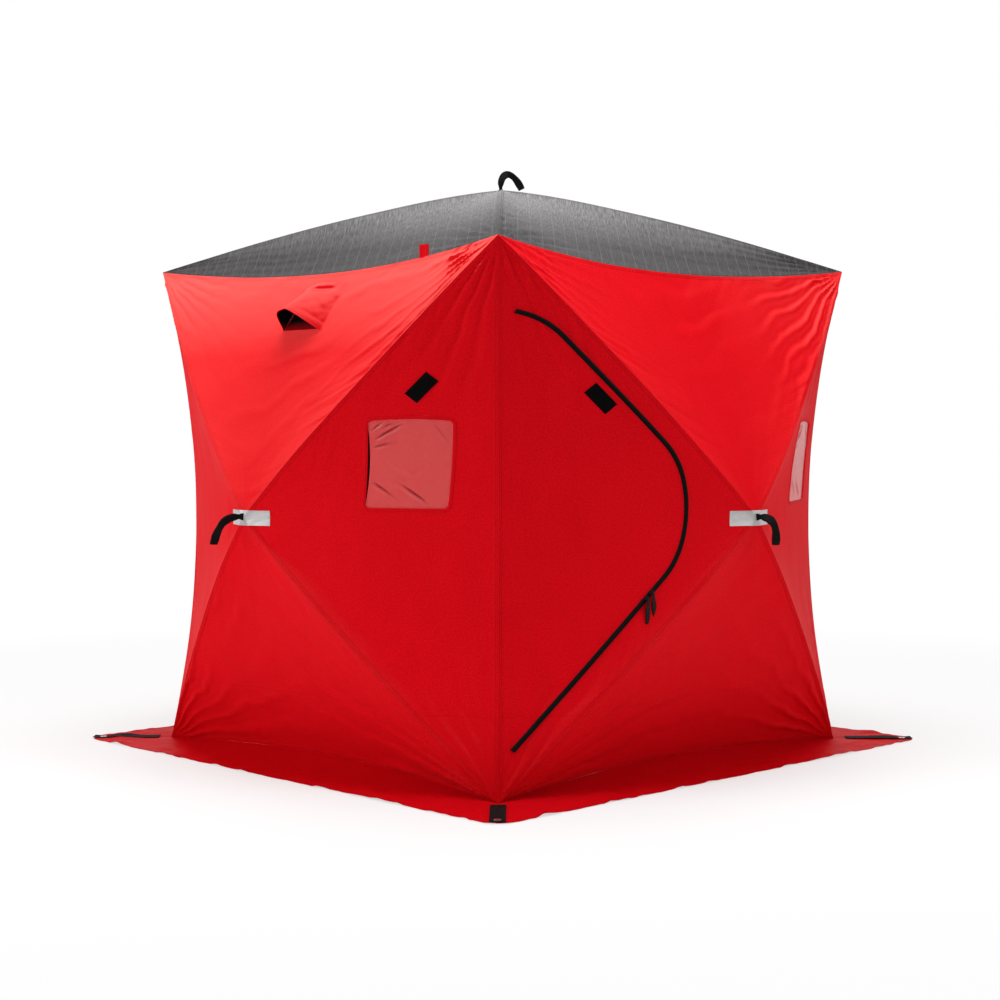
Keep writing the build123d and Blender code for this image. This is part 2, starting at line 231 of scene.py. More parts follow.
def paintLightAndShade(colour, dark, where, cloud):
    # painted light: lighter on cloth that faces up, and by the eave on the side lit from -X; painted
    # shade: darker by the ice
    height = where.parts()[2]
    normal = where.node("ShaderNodeNewGeometry", {}, {}, output="Normal").parts()
    litFromAbove, litLeaningBack = normal[2].slope(*paintedLightLook["litFromAbove"]), normal[2].slope(*paintedLightLook["litLeaningBack"])
    paintedLit = litFromAbove * paintedLightLook["litFromAboveShare"] + height.ramp(*paintedLightLook["litHeights"]) * litLeaningBack * paintedLightLook["litHeightsShare"]
    # painted highlight, towards a lighter red
    colour = tint(paintedLit * normal[0].slope(*paintedLightLook["litSide"]), colour, paintedLightLook["paintedHighlight"])
    # painted shade, darker towards the ice
    low = height.ramp(paintedLightLook["paintedShadeHeight"], 0)
    return tint(low * cloud * paintedLightLook["paintedShadeGain"], colour, dark)


def clothMaterial(name, dark, light, grainDepth, sheen, roughness, withPaintedLight=False,
                  thread=cloth["thread"], rows=cloth["stitchRows"]):
    material, wire, shader = newMaterial(name, light, roughness, Sheen_Weight=sheen,
                                         Sheen_Roughness=0.45, Specular_IOR_Level=cloth["specular"])
    where = objectPlace(wire)
    nearest, run, grain, down = seamParts(wire)
    cloud, rumple = (noiseAt(where, *cloth[key]) for key in ("cloud", "rumple"))
    speckle, slub, warp, weft, pucker = (noiseAt(grain, *cloth[key]) for key in
                                         ("speckle", "slub", "warp", "weft", "pucker"))
    amount = (cloud - 0.5) * 0.35 + (speckle - 0.5) * 2.6 + (slub - 0.5) * 0.35 + 0.45
    colour = tint(amount.math("MAXIMUM", 0.0, clamp=True), dark, light)
    # painted light and painted shade, on the walls only
    if withPaintedLight:
        colour = paintLightAndShade(colour, dark, where, cloud)
    dash = (run / cloth["stitchLength"]).math("FRACT").math("GREATER_THAN", cloth["stitchGap"])
    stitches = stitchLines(nearest, rows) + band(down, *cloth["join"]) * 0.32
    stitched = stitches * (dash * 0.45 + 0.40)
    colour = tint(stitched.math("MINIMUM", 0.85) * 0.5, colour, thread)
    welt = band(nearest, *cloth["welt"])
    creases = (rumple - 0.5).math("ABSOLUTE").slope(-9.0, 1.0)
    height = (warp + weft) * grainDepth + speckle * (grainDepth * 1.2) + slub * 0.30
    height = height + welt * 0.9 + welt * pucker * 0.9 - stitches * 0.9 + stitched * 0.5
    height = height + creases * cloud * cloth["creaseDepth"] + rumple * 0.6
    finishShader(shader, colour, height, cloud * 0.14 + (roughness - 0.07))
    return material


def plainMaterial(name, dark, light, roughness, scale, grainDepth, stretch=(1, 1, 1), **sockets):
    # moulded, woven or metal trim, with its colour and bump from one grain
    material, wire, shader = newMaterial(name, light, roughness, **sockets)
    where = objectPlace(wire)
    grain = noiseAt(where, scale, 3, 0.6, stretch)
    cloud = noiseAt(where, scale / 25, 2)
    colour = tint(grain * 0.7 + cloud * 0.6 - 0.15, dark, light)
    finishShader(shader, colour, grain * grainDepth, cloud * 0.2 + (roughness - 0.1))
    return material


def webbingMaterial():
    # ribbed webbing, with its ribs across the strap
    material, wire, shader = newMaterial("black_webbing", (0.0085, 0.0075, 0.0075), 0.75,
                                         Specular_IOR_Level=0.07)
    ribWidth = 0.0022
    grain = attribute(wire, "grain")
    run, across = grain.parts()[:2]
    ribs = ((run + across.math("ABSOLUTE") * 0.8) / ribWidth).math("PINGPONG", 0.5) * 2
    fuzz = noiseAt(grain, 420)
    colour = tint(ribs * 0.6 + fuzz * 0.4, (0.0008, 0.0007, 0.0007), (0.0085, 0.0075, 0.0075))
    finishShader(shader, colour, ribs * 0.5 + fuzz * 0.3)
    return material


roof = {
    "heights": (1.80, 2.05),  # between which the grey goes from painted shade to painted light
    "shaded": ((0.021, 0.0195, 0.0195), (0.064, 0.060, 0.061)),
    "paintedLit": ((0.080, 0.078, 0.079), (0.290, 0.283, 0.285)),
    "line": (0.30, 0.295, 0.30),
    "thread": (0.02, 0.02, 0.02),
    "lineGap": 0.040,
}


def roofMaterial():
    # grey roof cloth: streaks that run down the slope, a faint ripstop grid, painted shade low down and
    # painted light towards the apex
    material, wire, shader = newMaterial("roof_cloth_grey", (0.1, 0.1, 0.1), 0.65,
                                         Specular_IOR_Level=0.06)
    where = objectPlace(wire)
    nearest = seamParts(wire)[0]
    x, y, z = where.parts()
    across, down = (x - y) * (1 / root2), (x + y) * (1 / root2)  # woven along the hut's diagonals
    weave = where.node("ShaderNodeCombineXYZ", {}, {0: across, 1: down})
    streak = noiseAt(weave, 24, 4, 0.6, (9, 0.7, 1))
    dashes = noiseAt(weave, 60, 2, 0.5, (1, 0.35, 1))
    speckle = noiseAt(weave, 200, 2, 0.6)
    rumple = noiseAt(where, 10, 4, 0.6)
    cloud = noiseAt(where, 2.6, 3)
    columns = (across / roof["lineGap"]).math("FRACT")
    rows = (down / (roof["lineGap"] / 4)).math("FRACT")
    grid = band(columns, 0.5, 0.022, 0.03) * dashes + band(rows, 0.5, 0.06, 0.08) * 0.12
    amount = (streak - 0.5) * 2.1 + (speckle - 0.5) * 0.8 + (cloud - 0.5) * 0.5 + 0.40
    amount = amount.math("MAXIMUM", 0.0, clamp=True)
    # painted shade towards the eaves, painted light towards the apex
    colour = tint(z.ramp(*roof["heights"]), tint(amount, *roof["shaded"]), tint(amount, *roof["paintedLit"]))
    colour = tint(grid * 0.26, colour, roof["line"])
    stitches = stitchLines(nearest, cloth["stitchRows"])
    colour = tint(stitches * 0.6, colour, roof["thread"])
    welt = band(nearest, *cloth["welt"])
    height = streak * 0.5 + speckle * 0.15 + grid * 0.25 + welt * 0.8 - stitches * 0.8 + rumple * 1.6
    finishShader(shader, colour, height, cloud * 0.12 + 0.50, depth=0.0012)
    return material


vinylLook = {
    "alpha": 0.44,
    "scuffs": ((0.90, 0.070, 0.070), (1.0, 0.150, 0.150)),
    "specks": (0.95, 0.80, 0.80),
    # painted shade in the furrows beside the creases, and painted highlight on their ridges
    "sunk": (0.30, 0.002, 0.004),
    "paintedCreaseHighlight": (1.0, 0.34, 0.34),
    "creasePace": 9,
}


def vinylMaterial():
    # clear window film, a little cloudy and creased, with painted shade and painted highlights along
    # its creases
    material, wire, shader = newMaterial("clear_vinyl", (0.75, 0.45, 0.45), 0.22,
                                         Alpha=vinylLook["alpha"], Specular_IOR_Level=0.25,
                                         Coat_Weight=0.20, Coat_Roughness=0.10)
    where = objectPlace(wire)
    warped = noiseAt(where, 7, 3, 0.5, (1, 1, 0.6))
    crease = ((warped * vinylLook["creasePace"]).math("PINGPONG", 0.5) * 2).math("POWER", 7.0)
    scuff = noiseAt(where, 60, 3)
    specks = noiseAt(where, 210, 1).slope(14.0, -11.4)
    lift = attribute(wire, "grain").parts()[2]  # of the film's creases, in metres
    colour = tint(specks * 0.6, tint(scuff, *vinylLook["scuffs"]), vinylLook["specks"])
    # painted shade in the furrows beside the creases
    colour = tint(lift.slope(-900, -0.4) * 0.95, colour, vinylLook["sunk"])
    # painted highlight on the creases' ridges
    colour = tint(lift.slope(320, -0.3) * 0.45, colour, vinylLook["paintedCreaseHighlight"])
    finishShader(shader, colour, crease * 0.12 + warped * 0.3, scuff * 0.2 + 0.08, depth=0.002)
    return material


def ventMaterial():
    # black mesh, with painted red light low down, near the hood's mouth where light comes in
    material, wire, shader = newMaterial("vent_mesh", (0.002, 0.002, 0.002), 0.95,
                                         Specular_IOR_Level=0.03)
    where = objectPlace(wire)
    threads = noiseAt(where, 700)
    paintedLightLow, paintedLightHigh = 1.50, 1.54
    colour = tint(threads, (0.0005, 0.0004, 0.0004), (0.0050, 0.0035, 0.0035))
    # painted red light near the mouth, fading to the mesh's own black above
    colour = tint(where.parts()[2].ramp(paintedLightLow, paintedLightHigh), (0.30, 0.0008, 0.0040), colour)
    finishShader(shader, colour, threads * 0.6)
    return material


def reflectiveMaterial():
    # silver reflective tape, crinkled
    material, wire, shader = newMaterial("reflective_tape", (0.5, 0.5, 0.5), 0.35, Metallic=0.25,
                                         Sheen_Weight=0.2)
    where = objectPlace(wire)
    crinkle = noiseAt(where, 46, 4, 0.6)
    beads = noiseAt(where, 900, 1)
    colour = tint(crinkle * 0.7 + beads * 0.3, (0.335, 0.325, 0.325), (0.53, 0.515, 0.515))
    finishShader(shader, colour, crinkle * 1.6 + beads * 0.1, crinkle * 0.3 + 0.25)
    return material


# the wall cloth carries painted light and painted shade
wallRed = clothMaterial("wall_cloth_red", cloth["redDark"], cloth["redLight"], 0.055, 0.01, 0.62,
                        withPaintedLight=True)
skirtRed = clothMaterial("skirt_cloth_red", (0.46, 0.0005, 0.003), (0.66, 0.002, 0.008), 0.05, 0.0,
                         0.55, rows=(0.006, 0.014))
lining = clothMaterial("black_lining", (0.010, 0.010, 0.011), (0.026, 0.026, 0.028), 0.06, 0.02,
                       0.75, thread=(0.008, 0.008, 0.008))
webbing = webbingMaterial()
hookTape = plainMaterial("hook_tape", (0.0006, 0.0005, 0.0005), (0.0050, 0.0045, 0.0045), 0.95, 900,
                         0.9, Specular_IOR_Level=0.04)
zipTeeth = plainMaterial("zipper_teeth", (0.0008, 0.0007, 0.0007), (0.0065, 0.0058, 0.0058), 0.6,
                         400, 0.2, Specular_IOR_Level=0.06)
pullRubber = plainMaterial("pull_rubber", (0.0010, 0.0009, 0.0009), (0.0060, 0.0055, 0.0055), 0.5,
                           350, 0.2, Specular_IOR_Level=0.12)
poleGlass = plainMaterial("pole_fibreglass", (0.010, 0.010, 0.011), (0.030, 0.030, 0.032), 0.35, 200,
                          0.15, stretch=(1, 1, 0.1), Coat_Weight=0.4)
hubPlastic = plainMaterial("hub_plastic", (0.012, 0.012, 0.013), (0.030, 0.030, 0.031), 0.48, 500, 0.15)
grommetMetal = plainMaterial("grommet_metal", (0.55, 0.55, 0.55), (0.78, 0.77, 0.76), 0.28, 260, 0.06,
                             Metallic=1.0)
roofGrey = roofMaterial()
vinyl = vinylMaterial()
ventMesh = ventMaterial()
reflective = reflectiveMaterial()
print("materials made")


# panel surfaces, as the CAD's
def toward(point, target, distance):
    return point + (target - point).normalized() * distance


def bezier(start, middle, end, t):
    return start * ((1 - t) ** 2) + middle * (2 * t * (1 - t)) + end * (t * t)


def poleLine(hub, axis, corner):
    start = toward(hub, corner, hut["apexGap"])
    return [start, start + (corner - start) * hut["bowPlace"] + axis * hut["bowHeight"], corner]


def panelNet(hub, axis, first, second, pull):
    left, right = poleLine(hub, axis, first), poleLine(hub, axis, second)
    edge = toward((first + second) / 2, heart, 2 * pull)
    inner = (left[0] + right[0]) / 2
    return [[left[0], inner, right[0]],
            [left[1], inner + (edge - inner) * hut["bowPlace"], right[1]],
            [first, edge, second]]


def onNet(net, u, v):
    return bezier(*(bezier(net[0][j], net[1][j], net[2][j], u) for j in range(3)), v)


def seamGaps(net, u, v, place):
    # how far a place is from its panel's two seams and from its outer edge
    step = 0.01
    gaps = []
    for start, ahead in ((onNet(net, u, 0), onNet(net, u + step, 0)),
                         (onNet(net, u, 1), onNet(net, u + step, 1)),
                         (onNet(net, 1, v), onNet(net, 1, v + step))):
        gaps.append((place - start).cross((ahead - start).normalized()).length)
    return gaps


def outward(net, u, v):
    # unit normal, away from the middle of the hut
    step = 0.002
    here = onNet(net, u, v)
    normal = (onNet(net, u + step, v) - here).cross(onNet(net, u, v + step) - here).normalized()
    return normal if normal.dot(here - heart) > 0 else -normal


def cornerAt(side, half, height):
    # a corner of the front wall; side is -1 for the left one and 1 for the right one
    return Vector((side * half, -half, height))


out = Vector((0, -1, 0))
up = Vector((0, 0, 1))
wallHub = Vector((0, -hut["hubReach"], hut["hubHeight"]))
roofHub = Vector((0, 0, hut["roofHeight"]))
topLeft, topRight = (cornerAt(side, hut["topHalf"], hut["cornerHeight"]) for side in (-1, 1))
footLeft, footRight = (cornerAt(side, hut["baseHalf"], hut["foot"]) for side in (-1, 1))
nets = {
    "top": panelNet(wallHub, out, topLeft, topRight, hut["eavePull"]),
    "bottom": panelNet(wallHub, out, footLeft, footRight, hut["footPull"]),
    "left": panelNet(wallHub, out, topLeft, footLeft, hut["seamPull"]),
    "right": panelNet(wallHub, out, topRight, footRight, hut["seamPull"]),
    "roof": panelNet(roofHub, up, topLeft, topRight, hut["eavePull"]),
}


def placeOn(net, x, z):
    # u and v of a front-wall panel at this X and Z, by Newton steps
    u, v, step = 0.6, 0.5, 0.001
    for attempt in range(12):
        here = onNet(net, u, v)
        du, dv = (onNet(net, u + step, v) - here) / step, (onNet(net, u, v + step) - here) / step
        missX, missZ = x - here.x, z - here.z
        size = du.x * dv.z - du.z * dv.x
        u += (missX * dv.z - missZ * dv.x) / size
        v += (missZ * du.x - missX * du.z) / size
        if abs(missX) + abs(missZ) < 1e-6:
            break
    return u, v


def sideAt(x, z):
    # which panel of the front wall is at this X and Z
    rise = z - hut["hubHeight"]
    topSlope = (hut["cornerHeight"] - hut["hubHeight"]) / hut["topHalf"]
    footSlope = (hut["hubHeight"] - hut["foot"]) / hut["baseHalf"]
    if rise > topSlope * abs(x):
        return "top"
    if -rise > footSlope * abs(x):
        return "bottom"
    return "left" if x < 0 else "right"


def onWall(x, z, lift, side, seed):
    # a point of the front wall; with a seed it follows the folds of the panel on that side
    kind = side or sideAt(x, z)
    net = nets[kind]
    u, v = placeOn(net, x, z)
    place = clothPoint(kind, u, v, seed)[0] if seed else onNet(net, u, v)
    return place + outward(net, u, v) * lift


def smooth(t):
    t = max(0.0, min(1.0, t))
    return t * t * (3 - 2 * t)


# folds and puckers of stretched cloth
folds = {  # count, height and length of the folds that spread from a panel's two corners and hub
    "left": ((4.5, 0.0062, 0.42), (4.0, 0.0046, 0.30), (5, 0.0022, 0.14)),
    "right": ((4.5, 0.0062, 0.42), (4.0, 0.0046, 0.30), (5, 0.0022, 0.14)),
    "top": ((6.5, 0.0046, 0.24), (6.0, 0.0078, 0.45), (4, 0.0022, 0.14)),
    "bottom": ((5.0, 0.0095, 0.48), (5.0, 0.0095, 0.48), (4, 0.0022, 0.14)),
    "roof": ((5.5, 0.0058, 0.36), (5.5, 0.0058, 0.36), (5, 0.0026, 0.18)),
}
fanShape = {"onset": 0.13, "wander": (0.07, 5), "jitter": (0.03, 17), "second": 0.45,
            "patches": (0.65, 0.8, 3.5)}
pucker = {"height": 0.0036, "reach": 0.070, "pace": 32, "slant": 28.5, "cornerGain": 1.3,
          "cornerReach": 0.40, "lowShare": 0.45, "lowEdge": (0.75, 0.4), "seamFlat": 0.014}
foldSeeds = {"top": 1.0, "bottom": 1.1, "right": 1.2, "left": 1.4, "roof": 1.5}
swell = {"height": 0.0035, "pace": 2.6}
puff = {"height": 0.0012, "pace": 7.5}
calm = ((0.5595, 1.0575, 0.165, 0.178),  # the cloth lies flat under window and strip: X, Z, half sizes
        (0.0, 0.875, 0.115, 0.042))
calmFade = 0.05


def calmness(x, z):
    # 0 on the calm places, 1 away from them
    away = min(max(abs(x - middleX) - halfX, abs(z - middleZ) - halfZ)
               for middleX, middleZ, halfX, halfZ in calm)
    return smooth(away / calmFade)


def fan(point, corner, along, across, fold, seed):
    # lift of the folds that spread from a corner, between its two edges
    count, height, length = fold
    arm = point - corner
    reach = arm.length
    if reach < 0.002:
        return 0.0
    turn = arm.angle(along) / along.angle(across)
    for size, pace in (fanShape["wander"], fanShape["jitter"]):
        turn += size * noise.noise(point * pace + seed)
    wave = math.sin(2 * math.pi * (count * turn + noise.noise(seed * 3.1)))
    wave += fanShape["second"] * math.sin(4 * math.pi * (count * turn + noise.noise(seed * 1.7)) + 1)
    grown = (1 - math.exp(-(reach / fanShape["onset"]) ** 1.5)) * math.exp(-reach / length)
    least, spread, pace = fanShape["patches"]
    return height * grown * wave * (least + spread * noise.noise(point * pace + seed * 2))


def clothPoint(kind, u, v, seed):
    # a point of a panel with its folds, and its distances from the seams
    net = nets[kind]
    place = onNet(net, u, v)
    normal = outward(net, u, v)
    first, second = net[2][0], net[2][2]
    hub = (net[0][0] + net[0][2]) / 2
    gaps = seamGaps(net, u, v, place)
    firstFold, secondFold, hubFold = folds[kind]
    shift = fan(place, first, second - first, hub - first, firstFold, seed)
    shift += fan(place, second, first - second, hub - second, secondFold, seed * 1.3)
    shift += fan(place, hub, first - hub, second - hub, hubFold, seed * 0.7)
    shift += puff["height"] * noise.noise(place * puff["pace"] + seed)
    corner = min((place - first).length, (place - second).length)
    gain = 1 + pucker["cornerGain"] * math.exp(-corner / pucker["cornerReach"])
    fade = pucker["reach"] * math.sqrt(gain)
    lowEnd, span = pucker["lowEdge"]  # the lower seams lie smoother
    gain *= pucker["lowShare"] + (1 - pucker["lowShare"]) * smooth((place.z - lowEnd) / span)
    for gap, run in zip(gaps, (u * 1.3, u * 1.3 + 7, v * 1.8 + 13)):
        if gap < fade * 3:
            ripple = noise.noise(Vector((run * pucker["pace"] + gap * pucker["slant"], gap * 6,
                                         seed.x)))
            patchy = max(0.0, noise.noise(Vector((run * 4, 3.3, seed.y))) + 0.35) * 1.4
            shift += pucker["height"] * gain * ripple * patchy * math.exp(-gap / fade)
    ease = calmness(place.x, place.z) if kind != "roof" else 1.0
    shift *= smooth(min(gaps) / pucker["seamFlat"]) * ease
    return place + normal * shift + (place - heart).normalized() * sharedSwell(place) * ease, gaps


def sharedSwell(place):
    # the same on both sides of a seam
    rise = smooth(place.z / 0.15)
    return rise * swell["height"] * noise.noise(place * swell["pace"] + Vector((3, 1, 4)))


def graded(t, ends):
    # parameter with its steps closer together at the ends it is told
    if ends == "both":
        return t - 0.55 * math.sin(2 * math.pi * t) / (2 * math.pi)
    return t + 0.40 * math.sin(math.pi * t) / math.pi


def blankMesh():
    # with a layer for the distances from seams, and one for the place along the cloth
    bm = bmesh.new()
    return bm, bm.verts.layers.float_vector.new("seams"), bm.verts.layers.float_vector.new("grain")


def gridMesh(cells, point):
    # a grid whose point(s, t), s and t from 0 to 1, gives place, grain and seam distances
    bm, seams, grain = blankMesh()
    bmesh.ops.create_grid(bm, x_segments=cells[0], y_segments=cells[1], size=1)
    for vert in bm.verts:
        vert.co, vert[grain], vert[seams] = point((vert.co.x + 1) / 2, (vert.co.y + 1) / 2)
    return bm


def thicken(bm, thickness, lined=False, flat=False):
    # thickness towards the inside, or below a flat cloth; a lining has the second material
    bmesh.ops.recalc_face_normals(bm, faces=bm.faces)
    bm.normal_update()
    lean = sum(face.normal.dot(up if flat else face.calc_center_median() - heart)
               for face in bm.faces)
    if lean < 0:
        bmesh.ops.reverse_faces(bm, faces=bm.faces)
    grown = bmesh.ops.solidify(bm, geom=bm.faces[:] + bm.edges[:] + bm.verts[:], thickness=thickness)
    for part in grown["geom"]:
        if lined and isinstance(part, bmesh.types.BMFace):
            part.material_index = 1


def sweep(bm, rings, around, point):
    # a grid bent into a closed tube: point(i, j) gives place, grain and seam distances
    seams, grain = (bm.verts.layers.float_vector[name] for name in ("seams", "grain"))
    made = bmesh.ops.create_grid(bm, x_segments=rings, y_segments=around, size=1)["verts"]
    for vert in made:
        i, j = round((vert.co.x + 1) / 2 * rings), round((vert.co.y + 1) / 2 * around)
        vert.co, vert[grain], vert[seams] = point(i, j % around)
    bmesh.ops.remove_doubles(bm, verts=made, dist=1e-6)
    rims = {edge for vert in made if vert.is_valid for edge in vert.link_edges if edge.is_boundary}
    bmesh.ops.holes_fill(bm, edges=list(rims), sides=0)


def box(bm, seat, size):
    return bmesh.ops.create_cube(bm, size=1, matrix=seat @ Matrix.Diagonal((*size, 1)))


def rounded(bm, made, offset):
    # bevels the edges of a box that was just made
    edges = list({edge for vert in made["verts"] for edge in vert.link_edges})
    bmesh.ops.bevel(bm, geom=edges, offset=offset, offset_type="OFFSET", segments=2, profile=0.5,
                    affect="EDGES", material=-1)


def finishPiece(name, bm, materials, turn=0.0):
    # smooth but for its sharp edges, turned to its wall, as an object
    sharpAngle = 0.6
    bmesh.ops.rotate(bm, verts=bm.verts, matrix=Matrix.Rotation(math.radians(turn), 3, "Z"))
    for edge in bm.edges:
        if len(edge.link_faces) == 2 and edge.calc_face_angle(0) > sharpAngle:
            edge.smooth = False
    for face in bm.faces:
        face.smooth = True
    mesh = bpy.data.meshes.new(name)
    bm.to_mesh(mesh)
    bm.free()
    piece = bpy.data.objects.new(name, mesh)
    bpy.context.scene.collection.objects.link(piece)
    for material in materials:
        mesh.materials.append(material)
    return piece


def finishSolid(name, bm, material, turn=0.0):
    # for closed shapes whose faces may point either way
    bmesh.ops.recalc_face_normals(bm, faces=bm.faces)
    return finishPiece(name, bm, [material], turn)


def assign(piece, slotName, body, *replaced):
    if replaced:
        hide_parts(*replaced)
    if body:
        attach(piece, body)


def firstOnly(place, node, first="front"):
    # the first of several pieces stands for the node that holds them all
    return [node] if place == first else []


def declare(piece, flat, slotName, body, *replaced, held="stretched", restsOn=()):
    # hides the nodes the piece replaces and attaches it to its body; flat, the cloth's size laid flat,
    # more than its own area as it isn't a rectangle, is not used
    assign(piece, slotName, body, *replaced)


panels = {
    "fineCells": (124, 104),  # across, down; on the two walls with door, window and vent
    "plainCells": (76, 64),
    "roofCells": (88, 76),
    "thickness": 0.0035,
    "flat": {"top": (1.86, 1.28), "bottom": (1.82, 1.22), "left": (1.80, 1.22),
             "right": (1.80, 1.22), "roof": (1.86, 1.36)},
}


def panelMesh(kind, cells, seed):
    def panelPoint(s, t):
        place, gaps = clothPoint(kind, graded(t, "last"), graded(s, "both"), seed)
        return place, (place.x, place.y if kind == "roof" else place.z, 0), gaps

    return gridMesh(cells, panelPoint)


def cutHole(bm, lowX, lowZ, highX, highZ, lean=0.0):
    # lean is the sideways shift of the hole's sides for each metre of height
    middle, margin = (lowZ + highZ) / 2, 0.05
    near = [face for face in bm.faces
            if lowX - margin < face.calc_center_median().x < highX + margin
            and lowZ - margin < face.calc_center_median().z < highZ + margin]
    for place, normal in (((lowX, 0, middle), (1, 0, -lean)), ((highX, 0, middle), (1, 0, -lean)),
                          ((0, 0, lowZ), (0, 0, 1)), ((0, 0, highZ), (0, 0, 1))):
        geometry = set(near)
        for face in near:
            geometry.update(face.edges)
            geometry.update(face.verts)
        cut = bmesh.ops.bisect_plane(bm, geom=list(geometry), plane_co=place, plane_no=normal,
                                     dist=1e-6)
        near = [part for part in cut["geom"] if isinstance(part, bmesh.types.BMFace)]
    middles = [(face, face.calc_center_median()) for face in near]
    inside = [face for face, spot in middles
              if lowX < spot.x - lean * (spot.z - middle) < highX and lowZ < spot.z < highZ]
    bmesh.ops.delete(bm, geom=inside, context="FACES")


window = {
    "low": (0.433, 0.915),
    "high": (0.688, 1.200),
    "border": 0.012,
    "lean": 0.13,
    "arch": (0.007, 0.006),  # how far the top corners sit lower, and the right one further in
    "slit": 0.007,  # the film stands off the hem along one side
    "creases": (  # place on the film, slope and height
        (0.24, 0.825, 0.53, 0.0042), (0.12, 0.89, 0.63, 0.0034), (0.10, 0.66, 0.24, 0.0030),
        (0.58, 0.135, -0.585, 0.0044), (0.18, 0.19, -0.57, 0.0032), (0.30, 0.92, 0.40, 0.0030),
        (0.84, 0.80, -1.2, 0.0020)),
}
ventHole = {"middle": (-0.015, 1.565), "half": (0.055, 0.035)}
sideNames = {"front": ("left", "right"), "left": ("back", "front"),
             "back": ("right", "left"), "right": ("front", "back")}


def seedOf(wall, kind):
    # where in the noise a panel's folds are taken from
    number = list(walls).index(wall)
    return Vector((2.7 * number + 1, 5.1 * number + 2, 1.9 * number)) * foldSeeds[kind]


def makePanel(wall, kind, cells, name, node, slotName="wall_cloth", outside=wallRed, hole=None):
    bm = panelMesh(kind, cells, seedOf(wall, kind))
    if hole:
        cutHole(bm, *hole)
    thicken(bm, panels["thickness"], lined=True)
    piece = finishPiece(name, bm, [outside, lining], walls[wall])
    declare(piece, panels["flat"][kind], slotName, "shelter", node)


windowHole = (*window["low"], *window["high"], window["lean"])
(ventX, ventZ), (ventWide, ventHigh) = ventHole["middle"], ventHole["half"]
ventCut = (ventX - ventWide, ventZ - ventHigh, ventX + ventWide, ventZ + ventHigh)
for wall, (leftName, rightName) in sideNames.items():
    cells = panels["fineCells"] if wall in ("front", "left") else panels["plainCells"]
    holes = {"top": ventCut if wall in ("left", "right") else None, "right": windowHole}
    kinds = {"top": "top", "bottom": "bottom", "right": rightName, "left": leftName}
    for kind, side in kinds.items():
        if (wall, kind) != ("front", "left"):  # that one has the door
            makePanel(wall, kind, cells, f"{wall}_{side}_cloth", f"{wall}_panel_{side}",
                      hole=holes.get(kind))
    makePanel(wall, "roof", panels["roofCells"], f"roof_{wall}_cloth", f"roof_panel_{wall}",
              "roof_cloth", roofGrey)
print("cloth panels made")


# door, cut from the front wall's left panel
door = {
    "hingeFoot": (-0.829, 0.159),
    "hingeHead": (-0.822, 1.534),
    "shoulder": (-0.738, 1.512),
    "nose": (-0.120, 0.911),
    "shoulderRadius": 0.280,
    "noseRadius": 0.313,
    "low": 0.190,  # the flap stops short of the ends of its hinge edge
    "high": 1.502,
    "knife": (-1.2, -1.6, 1.2),  # the cutting prism's seam side, its outer end and its depth
    "bendStart": (-0.85, -0.85, 0.85),  # the bend runs square to the corner seam, which stays put
    "bendEnd": (-0.79, -0.91, 0.85),
}


def leftOf(direction):
    return Vector((-direction.y, direction.x))


def roundedPath(corners, radii, step):
    # straight runs joined by arcs; step is the arcs' turn in radians
    corners = [Vector(corner) for corner in corners]
    places = [corners[0]]
    for before, corner, after, radius in zip(corners, corners[1:], corners[2:], radii):
        way, onward = (corner - before).normalized(), (after - corner).normalized()
        turn = math.acos(max(-1, min(1, way.dot(onward))))
        start = corner - way * (radius * math.tan(turn / 2))
        centre = start - leftOf(way) * radius
        arm = leftOf(way) * radius
        count = max(2, round(turn / step))
        for i in range(count + 1):
            places.append(centre + arm @ Matrix.Rotation(turn * i / count, 2))
    return [*places, corners[-1]]


doorPath = roundedPath([door[key] for key in ("hingeHead", "shoulder", "nose", "hingeFoot")],
                       (door["shoulderRadius"], door["noseRadius"]), 0.06)


def evenly(places, gap):
    # points at even steps along a run of points
    lengths = [0.0]
    for before, after in zip(places, places[1:]):
        lengths.append(lengths[-1] + (after - before).length)
    count = max(1, round(lengths[-1] / gap))
    result, index = [], 0
    for i in range(count + 1):
        goal = lengths[-1] * i / count
        while index < len(places) - 2 and lengths[index + 1] < goal:
            index += 1
        share = (goal - lengths[index]) / (lengths[index + 1] - lengths[index])
        result.append(places[index].lerp(places[index + 1], share))
    return result


def cutter():
    # a prism over the door and the strip of cloth along its hinge, open to the corner seam
    outline = [place for place in evenly(doorPath, 0.012) if door["low"] < place.y < door["high"]]
    first, last = outline[0], outline[-1]
    seamSide, outerEnd, depth = door["knife"]
    outline = [Vector((seamSide, door["high"])), Vector((first.x, door["high"])), *outline,
               Vector((last.x, door["low"])), Vector((seamSide, door["low"]))]
    bm = bmesh.new()
    rim = bmesh.ops.create_circle(bm, cap_ends=True, segments=len(outline), radius=1)["verts"]
    for vert, place in zip(rim, outline):
        vert.co = (place.x, outerEnd, place.y)
    grown = bmesh.ops.extrude_face_region(bm, geom=bm.faces[:])
    bmesh.ops.translate(bm, vec=(0, depth, 0),
                        verts=[v for v in grown["geom"] if isinstance(v, bmesh.types.BMVert)])
    bmesh.ops.recalc_face_normals(bm, faces=bm.faces)
    return finishPiece("door_cutter", bm, [])


